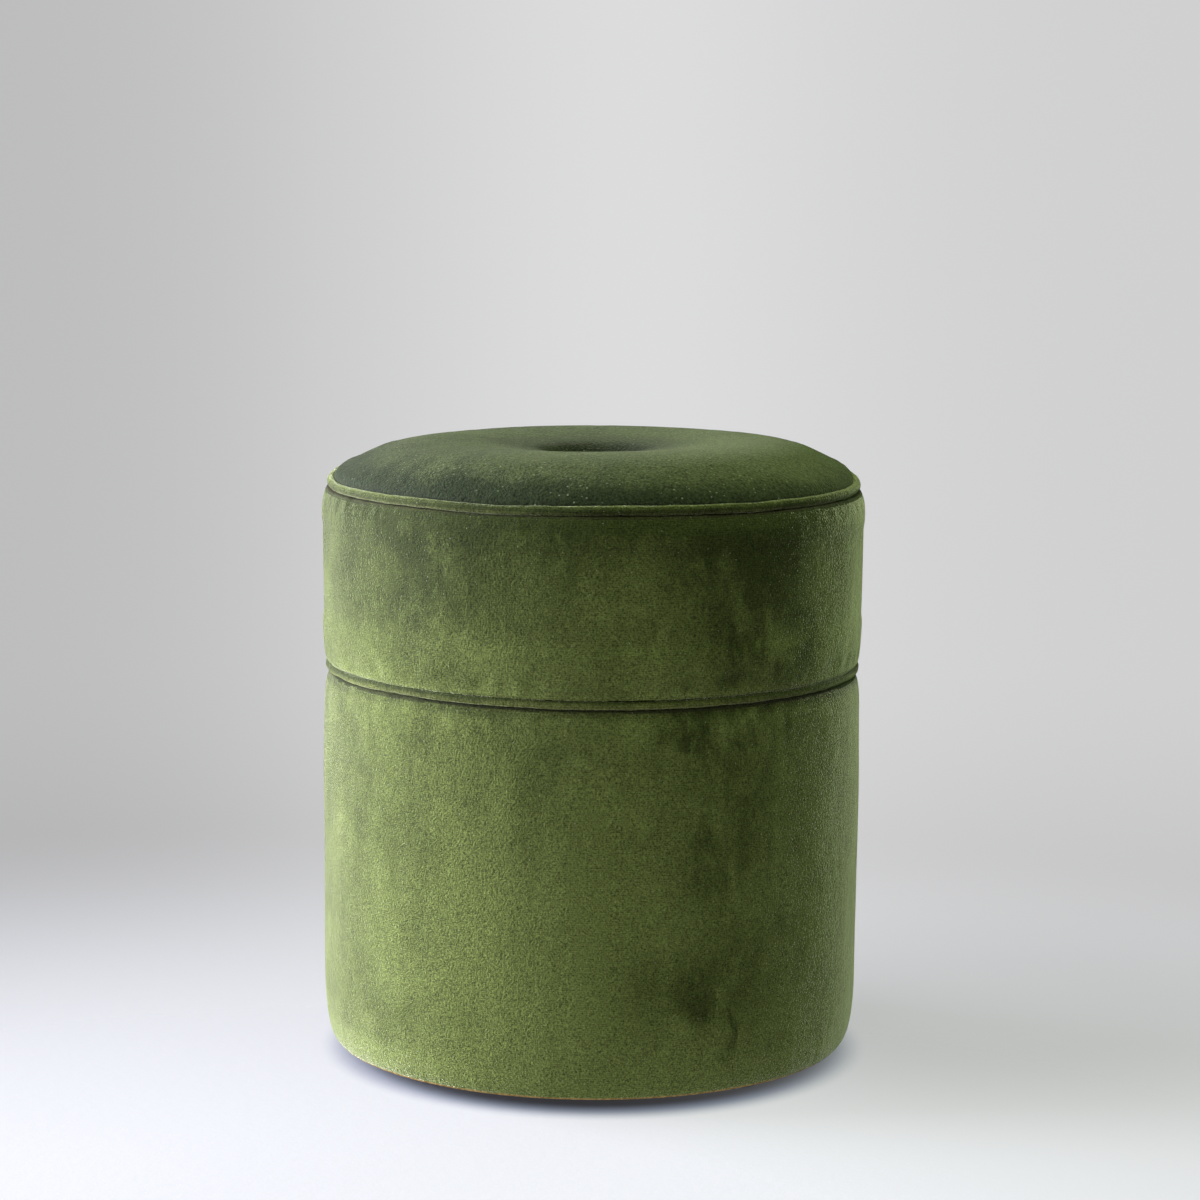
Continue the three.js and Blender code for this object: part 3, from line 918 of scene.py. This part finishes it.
def welt(name, ring, height, cord, seed):
    """A velvet-covered cord sewn into a seam: slightly uneven, lapped at the back."""
    segments, around = 640, 20
    points, faces = [], []
    for k in range(segments):
        turn = TAU * k / segments
        out = Vector((math.sin(turn), -math.cos(turn), 0))
        spot = out * 3.1 + Vector((seed, 0, 0))
        ripple = 0.55 * MM * noise.noise(spot * 2) + 0.25 * MM * noise.noise(spot * 7)
        drift = 0.3 * MM * noise.noise(spot * 3 + Vector((0, 0, 5)))
        size = 1 + 0.05 * noise.noise(spot * 9)
        back = (math.pi - abs((turn + math.pi) % TAU - math.pi)) * ring
        size += 0.12 * bell(back, 7 * MM) - 0.1 * bell(back - 8 * MM, 1.2 * MM)
        middle = out * (ring + drift) + Vector((0, 0, height + ripple))
        for j in range(around):
            tilt = TAU * j / around
            across, up = math.cos(tilt), math.sin(tilt)
            pinch = 1 - 0.18 * max(0.0, -across) ** 2
            rise = Vector((0, 0, up * cord * size * pinch))
            points.append(middle + out * (across * cord * size) + rise)
            one, two, n = k * around, (k + 1) % segments * around, (j + 1) % around
            faces.append([one + j, one + n, two + n, two + j])
    return mesh_object(name, settled(np.array(points)), faces)


# ---- base upholstery

CORNER = 56 * MM
TURN_UNDER = 10.7 * MM
WALL_TOP = 262 * MM
VELVET_THICK = 1.4 * MM
SKIN_GAP = 0.4 * MM


def base_profile():
    """From the hem under the floor up the wall, over the rim and down the mouth, then back inside."""
    hem = radii("lid_velvet_hem")[0]
    skin = radii("base_skin")[1] + SKIN_GAP
    top = high("base_skin").z + SKIN_GAP
    flap_end = low("base_rim_ring").z + 1 * MM
    flap_back = MOUTH + VELVET_THICK
    foot = DRUM - TURN_UNDER
    upright = DRUM - 0.3 * MM
    under = [(r, BASE_LOW) for r in np.linspace(hem, foot - 2 * MM, 8)]
    corner = []
    for t in np.linspace(0.004, 1, 26) ** 1.6:
        bulge = (1 - (1 - t) ** 2.2) ** (1 / 2.2)
        corner.append((foot + (upright - foot) * bulge, BASE_LOW + CORNER * t))
    wall = []
    for z in np.linspace(BASE_LOW + CORNER + 3 * MM, WALL_TOP, 52):
        share = (z - BASE_LOW - CORNER) / (BASE_HIGH - BASE_LOW - CORNER)
        wall.append((upright + 0.3 * MM * math.sin(math.pi * share) - 0.9 * MM * share**6, z))
    last = wall[-1][0]
    shoulder = []
    for t in np.linspace(0.06, 1, 16):
        rise = (BASE_HIGH - WALL_TOP) * math.sin(t * math.pi / 2)
        inward = 7.2 * MM * (1 - math.cos(t * math.pi / 2) ** 0.62)
        shoulder.append((last - inward, WALL_TOP + rise))
    rim = [(r, BASE_HIGH) for r in np.linspace(shoulder[-1][0] - 3 * MM, MOUTH + 5 * MM, 8)]
    roll = arc((MOUTH + 4 * MM, BASE_HIGH - 4 * MM), 4 * MM, 100, 180, 8)
    flap = [(MOUTH, z) for z in np.linspace(BASE_HIGH - 6 * MM, flap_end, 8)]
    inside = [
        (flap_back, flap_end),
        (flap_back, top),
        (skin, top),
        (skin, BASE_LOW + VELVET_THICK),
        (hem, BASE_LOW + VELVET_THICK),
    ]
    return under + corner + wall + shoulder + rim + roll + flap + inside


def base_upholstery():
    obj = revolve("base_upholstery", base_profile(), COVER_SEGMENTS)
    points, normals, radius, angle = surface(obj)
    flat = points * [1, 1, 0]
    height = points[:, 2] - BASE_LOW
    outside = radius > DRUM - 12 * MM
    move = 0.75 * MM * waviness(points, 75 * MM, 60 * MM, 11)
    move += 0.3 * MM * waviness(points, 24 * MM, 150 * MM, 12)
    pull = waviness(flat, 9 * MM, 1, 13) + 0.5 * waviness(flat, 5 * MM, 1, 14)
    patchy = np.clip(0.5 + 0.8 * waviness(flat, 70 * MM, 1, 15), 0, 1)
    move += 0.4 * MM * pull * patchy * bell(height - 8 * MM, 16 * MM)
    move += 0.3 * MM * waviness(flat, 10 * MM, 1, 16) * bell(BASE_HIGH - points[:, 2] - 7 * MM, 8 * MM)
    back = from_back(radius, angle)
    move -= 1.3 * MM * bell(back, 1.9 * MM) - 0.3 * MM * bell(back - 6 * MM, 4 * MM)
    move += crease(points, angle, 37.6, 97, 12, 1.5, 1.1, tilt=10)
    move += crease(points, angle, -44.7, 232, 9, 2.2, 0.5, tilt=48)
    move = np.where(outside & (height > 1 * MM), move, 0)
    pleats = (radius < DRUM - 11 * MM) & (height < 0.5 * MM) & (radius > high("dust_cover").x + 1 * MM)
    move = np.where(pleats, 0.5 * MM * waviness(flat, 6 * MM, 1, 17) - 0.2 * MM, move)
    set_corners(obj, points + normals * move[:, None])
    finish_piece(obj, "base", VELVET_WALL, "velvet", "base_velvet_cover", "base_foam_wrap")
    obj.data.materials.append(FOLD_GROUND)
    obj.data.materials.append(SHADE_VELVET)
    fold, pressed = 1, 2
    for face in obj.data.polygons:
        centre = face.center
        if centre.z < BASE_LOW + 1.8 * MM and math.hypot(centre.x, centre.y) > DRUM - TURN_UNDER:
            face.material_index = fold
        # The rim under the lid: the darker, duller velvet as painted shade.
        if centre.z > BASE_HIGH - 1.5 * MM:
            face.material_index = pressed


def crease(points, angle, turn_deg, height_mm, half_mm, width_mm, depth_mm, tilt):
    """A short dent in the wall, at an angle from the front and a height, tilted in degrees."""
    across = (angle - math.radians(turn_deg)) * DRUM
    up = points[:, 2] - height_mm * MM
    c, s = math.cos(math.radians(tilt)), math.sin(math.radians(tilt))
    along, off = across * c + up * s, up * c - across * s
    return -depth_mm * MM * bell(off, width_mm * MM) * bell(along, half_mm * MM)


# ---- bay, underside and fixings


def bay_lining():
    inner, outer = radii("bay_liner_wall")
    bottom, top = low("bay_liner_wall").z, high("bay_liner_wall").z
    inside = [(inner, z) for z in np.linspace(top - 1.2 * MM, bottom, 44)]
    lip = arc(((inner + outer) / 2, top - 1.2 * MM), (outer - inner) / 2, 0, 180, 9)
    outside = [(outer, bottom), (outer, top - 1.2 * MM)]
    wall = revolve("bay_lining_wall", outside + lip[1:-1] + inside, 360)
    points = corners_of(wall)
    radius, angle = polar(points)
    cloth_side = radius < inner + 0.3 * MM
    ease = 0.35 * MM * waviness(points, 16 * MM, 160 * MM, 21)
    ease -= 0.5 * MM * bell(from_back(radius, angle), 1.2 * MM)
    scale = np.where(cloth_side, (radius + np.minimum(ease, 0.1 * MM)) / radius, 1)
    widen(wall, points, scale)
    finish_piece(wall, "base", LINING, "lining_board", "bay_liner_wall")

    reach, bottom, top = extent("bay_liner_floor")
    edge = arc((reach - 1.2 * MM, top - 1.2 * MM), 1.2 * MM, 0, 90, 6)
    upper = [(r, top) for r in np.linspace(reach - 2 * MM, 0, 40)]
    board = revolve("bay_lining_floor", [(0, bottom), (reach - 0.6 * MM, bottom)] + edge + upper, 180)
    finish_piece(board, "base", LINING, "lining_board", "bay_liner_floor")


STAPLE_CROWN = 9 * MM
STAPLE_LEG = 1.2 * MM
STAPLE_WIRE = 0.7 * MM


def staple_points(at, along, up):
    """Corners and faces of one wire staple lying on a surface, its legs going in against up."""
    across = up.cross(along)
    points, faces = [], []
    end, half = STAPLE_CROWN / 2, STAPLE_WIRE / 2
    for x, z in ((-end, -STAPLE_LEG), (-end, STAPLE_WIRE), (end, STAPLE_WIRE), (end, -STAPLE_LEG)):
        bend = -half if z > 0 and x > 0 else half
        for dx, dy in ((-1, -1), (1, -1), (1, 1), (-1, 1)):
            lift = dx * half if z > 0 else 0
            points.append(at + along * (x + dx * bend) + across * (dy * half) + up * (z + lift))
    for part in range(3):
        for j in range(4):
            n = (j + 1) % 4
            faces.append([part * 4 + j, part * 4 + n, part * 4 + 4 + n, part * 4 + 4 + j])
    faces.append([3, 2, 1, 0])
    faces.append([12, 13, 14, 15])
    return points, faces


def staples(name, circle, height, count, up, body):
    points, faces = [], []
    for k in range(count):
        turn = TAU * (k + 0.5) / count + 0.03 * noise.noise(Vector((k * 1.7, circle, 0)))
        out = Vector((math.cos(turn), math.sin(turn), 0))
        askew = Matrix.Rotation(0.25 * noise.noise(Vector((k * 2.3, 1, circle))), 3, "Z")
        along = askew @ Vector((-out.y, out.x, 0))
        at = out * circle + Vector((0, 0, height))
        some, sides = staple_points(at, along, up)
        faces += [[i + len(points) for i in side] for side in sides]
        points += some
    made = mesh_object(name, points, faces, smooth=False)
    made.data.materials.append(STEEL)
    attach(made, body)
    return made


def cloth_disc(name, node, rings, screws, hole_radius, look, slot, body):
    """A thin round cloth with an even edge and a punched hole at each screw of that name."""
    reach, bottom, top = extent(node)
    middle = (top + bottom) / 2
    half = (top - bottom) / 2
    edge = arc((reach - half, middle), half, -80, 80, 5)
    under = [(r, bottom) for r in np.linspace(0, reach - 2 * half, rings)]
    over = [(r, top) for r in np.linspace(reach - 2 * half, 0, rings)]
    obj = revolve(name, under + edge + over, 240)
    spots = [centre_of(n) for n in NODES if n.startswith(screws)]
    cut_out(obj, new_object("drill", drill_mesh(spots, hole_radius, bottom - 0.01, top + 0.01)))
    finish_piece(obj, body, look, slot, node)


def drill_mesh(spots, radius, bottom, top):
    made = bmesh.new()
    size = {"segments": 20, "radius1": radius, "radius2": radius, "depth": top - bottom}
    for spot in spots:
        at = Matrix.Translation((spot.x, spot.y, (bottom + top) / 2))
        bmesh.ops.create_cone(made, cap_ends=True, matrix=at, **size)
    mesh = bpy.data.meshes.new("drill")
    made.to_mesh(mesh)
    made.free()
    return mesh


def screw_mesh(head, head_height, shank, length):
    """A pan-head cross-recess wood screw, head down, with its head's face on z = 0."""
    dome = [(0, 0)]
    for t in np.linspace(0.15, 1.45, 9):
        dome.append((head * math.sin(t), head_height * 0.62 * (1 - math.cos(t)) ** 1.3))
    rim = [(head, head_height * 0.72), (head, head_height), (shank, head_height)]
    thread, z, pitch = [], head_height + 3 * MM, 1.5 * MM
    while z < length - 4 * MM:
        thread += [(shank * 0.74, z), (shank, z + pitch * 0.35), (shank * 0.74, z + pitch * 0.7)]
        z += pitch
    body = revolve("screw", dome + rim + thread + [(shank * 0.5, length - 2 * MM), (0, length)], 28)
    slots = bmesh.new()
    for turn in (0, math.pi / 2):
        bit = Matrix.Rotation(turn, 4, "Z") @ Matrix.Diagonal((head * 1.1, head * 0.26, head * 0.7, 1))
        bmesh.ops.create_cube(slots, size=1, matrix=bit)
    cross_mesh = bpy.data.meshes.new("cross")
    slots.to_mesh(cross_mesh)
    slots.free()
    cut_out(body, new_object("cross", cross_mesh), with_itself=True)
    mesh = body.data
    bpy.data.objects.remove(body)
    mesh.materials.clear()
    mesh.materials.append(STEEL)
    return mesh


def fit_screws(prefix, node_prefix, body):
    """One detailed screw for each CAD screw of that name, each turned differently."""
    names = sorted(n for n in NODES if n.startswith(node_prefix))
    first = names[0]
    head = (high(first).x - low(first).x) / 2
    length = high(first).z - low(first).z
    mesh = screw_mesh(head, 2.7 * MM, 2 * MM, length)
    for k, node in enumerate(names):
        spot = centre_of(node)
        screw = new_object(f"{prefix}_{k + 1}", mesh)
        screw.rotation_euler.z = 0.9 * k + 0.3
        screw.location = (spot.x, spot.y, low(node).z)
        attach(screw, body)
        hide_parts(node)


def glides():
    names = sorted(n for n in NODES if n.startswith("glide_") and "screw" not in n)
    for k, node in enumerate(names):
        spot, size = centre_of(node), high(node) - low(node)
        reach, tall = size.x / 2, size.z
        profile = (
            [(6.5 * MM, 1 * MM)]
            + arc((7.5 * MM, 1 * MM), 1 * MM, 180, 270, 5)[1:]
            + [(12 * MM, 0)]
            + arc((17 * MM, 1.8 * MM), 1.8 * MM, -90, -10, 7)
            + [(reach - 0.4 * MM, tall - 1.2 * MM)]
            + arc((reach - 0.8 * MM, tall - 0.8 * MM), 0.8 * MM, 0, 90, 5)
            + [(2.5 * MM, tall), (2.5 * MM, 5 * MM), (6 * MM, 5 * MM), (6.5 * MM, 4.5 * MM)]
        )
        foot = revolve(f"foot_glide_{k + 1}", profile, 64)
        foot.location = (spot.x, spot.y, 0)
        finish_piece(foot, "base", PLASTIC, "plastic", node)


def lid_hem():
    """The cover turned under the board: a velvet ring gathered into small pleats."""
    inner, outer = radii("lid_velvet_hem")
    bottom, top = low("lid_velvet_hem").z, high("lid_velvet_hem").z
    under = [(r, bottom) for r in np.linspace(inner, outer - 0.7 * MM, 18)]
    edge = arc((outer - 0.7 * MM, (bottom + top) / 2), (top - bottom) / 2, -70, 70, 5)
    over = [(outer - 0.7 * MM, top), (inner, top)]
    obj = revolve("lid_hem", under + edge + over, 720)
    points = corners_of(obj)
    radius, angle = polar(points)
    gather = np.abs(np.sin(48 * angle + 2.5 * waviness(points * [1, 1, 0], 30 * MM, 1, 31)))
    lined = bell(np.maximum(0, radius - radii("lid_underside_lining")[1]), 1.5 * MM)
    sink = 0.7 * MM * (1 - gather) * np.clip((radius - 168 * MM) / (10 * MM), 0, 1)
    points[:, 2] += np.where(points[:, 2] < bottom + 0.1 * MM, sink * (1 - 0.5 * lined), 0)
    set_corners(obj, points)
    finish_piece(obj, "lid", VELVET_BAND, "velvet", "lid_velvet_hem")


def disc_wrap():
    """Lining drawn over the locating disc, with a soft lower edge."""
    reach, bottom, top = extent("locating_disc_wrap")
    thick = 0.7 * MM
    soft = 2.2 * MM
    under = [(r, bottom) for r in np.linspace(0, reach - soft - 1 * MM, 46)]
    turn = arc((reach - soft, bottom + soft), soft, -80, 0, 8)
    side = [(reach, z) for z in np.linspace(bottom + soft + 1 * MM, top, 6)]
    inner = [(reach - thick, top), (reach - thick, bottom + soft)]
    inner += [(reach - soft, bottom + thick), (0, bottom + thick)]
    obj = revolve("disc_wrap_cloth", under + turn + side + inner, 300)
    points = corners_of(obj)
    radius, angle = polar(points)
    tuck = np.abs(np.sin(30 * angle + 2 * waviness(points * [1, 1, 0], 25 * MM, 1, 41)))
    depth = 0.45 * MM * (1 - tuck) * np.clip((points[:, 2] - bottom - soft) / (6 * MM), 0, 1)
    scale = np.where(radius > reach - 0.2 * MM, (radius - depth) / radius, 1)
    widen(obj, points, scale)
    finish_piece(obj, "lid", LINING, "lining_cloth", "locating_disc_wrap")


def covered_button():
    """A velvet button: a domed top, a full edge, and folds drawn in beneath."""
    reach, bottom, top = extent("tuft_button")
    tall = top - bottom
    under = [(r, bottom + 0.6 * MM * (r / reach) ** 2) for r in np.linspace(0, reach * 0.7, 6)]
    shell = []
    for t in np.linspace(-0.75, 1, 26):
        turn = t * math.pi / 2
        share = 0.58 if t > 0 else 0.42
        rise = tall * (0.42 + share * math.sin(turn))
        shell.append((reach * math.cos(turn) ** 0.8, bottom + rise))
    shell[-1] = (0, shell[-1][1])
    obj = revolve("covered_button", under + shell, 120)
    points, normals, radius, angle = surface(obj)
    low_share = np.clip((bottom + tall * 0.55 - points[:, 2]) / (tall * 0.5), 0, 1)
    fold = 0.35 * MM * np.cos(22 * angle) * low_share * np.clip(radius / reach, 0, 1)
    set_corners(obj, points + normals * fold[:, None])
    finish_piece(obj, "lid", SEAT_VELVET_SHADED, "velvet", "tuft_button")


# ---- camera, light and floor

LENS = 97.79
CAMERA_DISTANCE = 2.4133
CAMERA_HEIGHT = 0.6697
CAMERA_PITCH = 7.807
CAMERA_ROLL = 0.513
CAMERA_SHIFT = 0.00606


def camera():
    data = bpy.data.cameras.new("camera")
    data.lens = LENS
    data.shift_x = CAMERA_SHIFT
    made = new_object("camera", data)
    tilt = Matrix.Rotation(math.radians(90 - CAMERA_PITCH), 4, "X")
    roll = Matrix.Rotation(math.radians(CAMERA_ROLL), 4, "Z")
    made.matrix_world = Matrix.Translation((0, -CAMERA_DISTANCE, CAMERA_HEIGHT)) @ tilt @ roll
    bpy.context.scene.camera = made


def softbox(name, place_at, aim, size, power, colour):
    data = bpy.data.lights.new(name, "AREA")
    data.shape = "RECTANGLE"
    data.size, data.size_y = size
    data.energy = power
    data.color = colour
    made = new_object(name, data)
    made.location = place_at
    made.rotation_euler = (Vector(aim) - Vector(place_at)).to_track_quat("-Z", "Y").to_euler()


# The floor's glow is painted light. DRUM_SHADE cuts it out under the drum and LEE_SHADE dims it to the
# drum's right as painted shadow; FLOOR_SHADE tints it blue at the shadow's edge; FLOOR_BOUNCE and
# FOOT_BOUNCE are painted bounce light onto the drum.
FLOOR_WHITE = (0.105, 0.112, 0.125)
FLOOR_GLOW = (0.64, 0.645, 0.66)
FLOOR_SHADE = (0.3, 0.4, 0.56)
FLOOR_BOUNCE = 0.13
FOOT_BOUNCE = 0.8
FOOT_REACH = (0.2, 0.25)
FLOOR_REACH = 6.0
POOL_CENTRE = (-0.1, -0.6)
POOL_INNER = 0.3
POOL_OUTER = 1.45
DRUM_SHADE = (0.166, 0.209)
LEE_CENTRE = (0.33, 0.12)
LEE_REACH = (0.12, 0.45)
LEE_SHADE = 0.62


def floor():
    """A white floor that glows as painted light in a pool round the drum, with painted shadow under and
    beside it: it fades out further off, and is clear from below.
    """
    rings = [0.3, 0.6, 1.0, 2.0, 4.0, FLOOR_REACH]
    segments = 96
    turns = [TAU * k / segments for k in range(segments)]
    points = [(r * math.cos(t), r * math.sin(t), 0) for r in rings for t in turns] + [(0, 0, 0)]
    faces = [[len(points) - 1, k, (k + 1) % segments] for k in range(segments)]
    for ring in range(len(rings) - 1):
        for k in range(segments):
            a, b, n = ring * segments, (ring + 1) * segments, (k + 1) % segments
            faces.append([a + k, b + k, b + n, a + n])
    obj = mesh_object("studio_floor", points, faces)
    made, tree, shader = material("studio_floor")
    here = place(tree)

    def away(x, y):
        return away_from(tree, here, (x, y, 0))

    put(shader, {"Base Color": (*FLOOR_WHITE, 1), "Roughness": 0.85, "Specular IOR Level": 0.1})
    marks = noise_node(tree, here, 0.012, 5, 0.65)
    tree.links.new(bump(tree, marks, 0.5 * MM), shader.inputs["Normal"])
    seen = tree.nodes.new("ShaderNodeLightPath").outputs["Is Camera Ray"]
    open_floor = spread(tree, away(3 * MM, 0), *DRUM_SHADE)
    glow_colour = blend_colours(tree, open_floor, FLOOR_SHADE, FLOOR_GLOW)
    tree.links.new(glow_colour, shader.inputs["Emission Color"])
    strength = calc(tree, "MULTIPLY_ADD", seen, 1 - FLOOR_BOUNCE, FLOOR_BOUNCE)
    lee = spread(tree, away(*LEE_CENTRE), *LEE_REACH, LEE_SHADE, 1.0)
    glow = calc(tree, "MULTIPLY", calc(tree, "MULTIPLY", open_floor, lee), strength)
    foot = spread(tree, away(0, 0), *FOOT_REACH, FOOT_BOUNCE, 0.0)
    glow = calc(tree, "MULTIPLY_ADD", foot, calc(tree, "SUBTRACT", 1.0, seen), glow)
    tree.links.new(glow, shader.inputs["Emission Strength"])
    clear = tree.nodes.new("ShaderNodeBsdfTransparent").outputs[0]
    far = spread(tree, away(*POOL_CENTRE), POOL_INNER, POOL_OUTER)
    pool = mix_shaders(tree, far, shader.outputs[0], clear)
    below = tree.nodes.new("ShaderNodeNewGeometry").outputs["Backfacing"]
    surface_in = tree.nodes["Material Output"].inputs["Surface"]
    tree.links.new(mix_shaders(tree, below, pool, clear), surface_in)
    obj.data.materials.append(made)


WORLD_LIGHT = 0.03
WALL_GREYS = [(0.0, 0.49), (0.2, 0.6), (0.5, 0.75), (0.75, 0.68), (1.0, 0.62)]
WALL_SPAN = 0.2


def world():
    """A plain grey studio wall, a little lighter in its middle, and a weak even light."""
    made = bpy.data.worlds.new("studio")
    made.use_nodes = True
    tree = made.node_tree
    seen = tree.nodes["Background"]
    toward = axes(tree, tree.nodes.new("ShaderNodeTexCoord").outputs["Generated"])
    greys = tree.nodes.new("ShaderNodeValToRGB")
    greys.color_ramp.interpolation = "B_SPLINE"
    while len(greys.color_ramp.elements) < len(WALL_GREYS):
        greys.color_ramp.elements.new(0.5)
    for stop, (position, grey) in zip(greys.color_ramp.elements, WALL_GREYS):
        stop.position = position
        stop.color = (grey, grey, grey * 1.01, 1)
    tree.links.new(spread(tree, toward["X"], -WALL_SPAN, WALL_SPAN), greys.inputs["Fac"])
    tree.links.new(greys.outputs["Color"], seen.inputs["Color"])
    tree.links.new(spread(tree, toward["Z"], -0.24, -0.15, 0.88, 1.0), seen.inputs["Strength"])
    lit = tree.nodes.new("ShaderNodeBackground")
    put(lit, {"Color": (0.97, 1.0, 0.95, 1), "Strength": WORLD_LIGHT})
    ray = tree.nodes.new("ShaderNodeLightPath").outputs["Is Camera Ray"]
    joined = mix_shaders(tree, ray, lit.outputs[0], seen.outputs[0])
    tree.links.new(joined, tree.nodes["World Output"].inputs["Surface"])
    bpy.context.scene.world = made
    bpy.context.scene.view_settings.view_transform = "Standard"


def lights():
    softbox("window", (-2.36, 0.42, 0.75), (0, 0, 0.25), (1.9, 1.6), 340, (1.0, 0.93, 1.18))
    softbox("front_fill", (-0.3, -2.7, 1.1), (0, 0, 0.25), (1.2, 1.2), 30, (1.0, 0.88, 1.12))
    softbox("right_edge", (1.9, 1.65, 0.8), (0, 0, 0.25), (1.1, 1.4), 24, (0.7, 1.0, 0.35))
    softbox("overhead", (0.2, -0.3, 2.6), (0, 0, 0), (2.4, 1.8), 64, (0.93, 1.03, 0.62))


# ---- everything together

camera()
lid_cushion()
upper = welt("upper_welt", SEAM_RING, SEAM, SEAM_CORD, 1)
finish_piece(upper, "lid", UPPER_WELT_VELVET, "velvet", "upper_piping")
lower = welt("lower_welt", LOWER_RING, LOWER_SEAM, LOWER_CORD, 2)
finish_piece(lower, "lid", LOWER_WELT_VELVET, "velvet", "lower_piping")
lid_hem()
covered_button()
disc_wrap()

cloth_disc(
    "underside_lining",
    "lid_underside_lining",
    50,
    "locating_screw_",
    2.6 * MM,
    LINING,
    "lining_cloth",
    "lid",
)
fit_screws("disc_screw", "locating_screw_", "lid")
base_upholstery()
bay_lining()
glides()
fit_screws("foot_screw", "glide_screw_", "base")
cloth_disc("under_cloth", "dust_cover", 48, "glide_screw_", 2.8 * MM, DUST_CLOTH, "dust_cloth", "base")
dust_reach, dust_low, _ = extent("dust_cover")
staples("under_cloth_staples", dust_reach - 7 * MM, dust_low, 44, Vector((0, 0, -1)), "base")

for node, look in CARRIED_OVER.items():
    NODES[node].data.materials[0] = look

floor()
world()
lights()
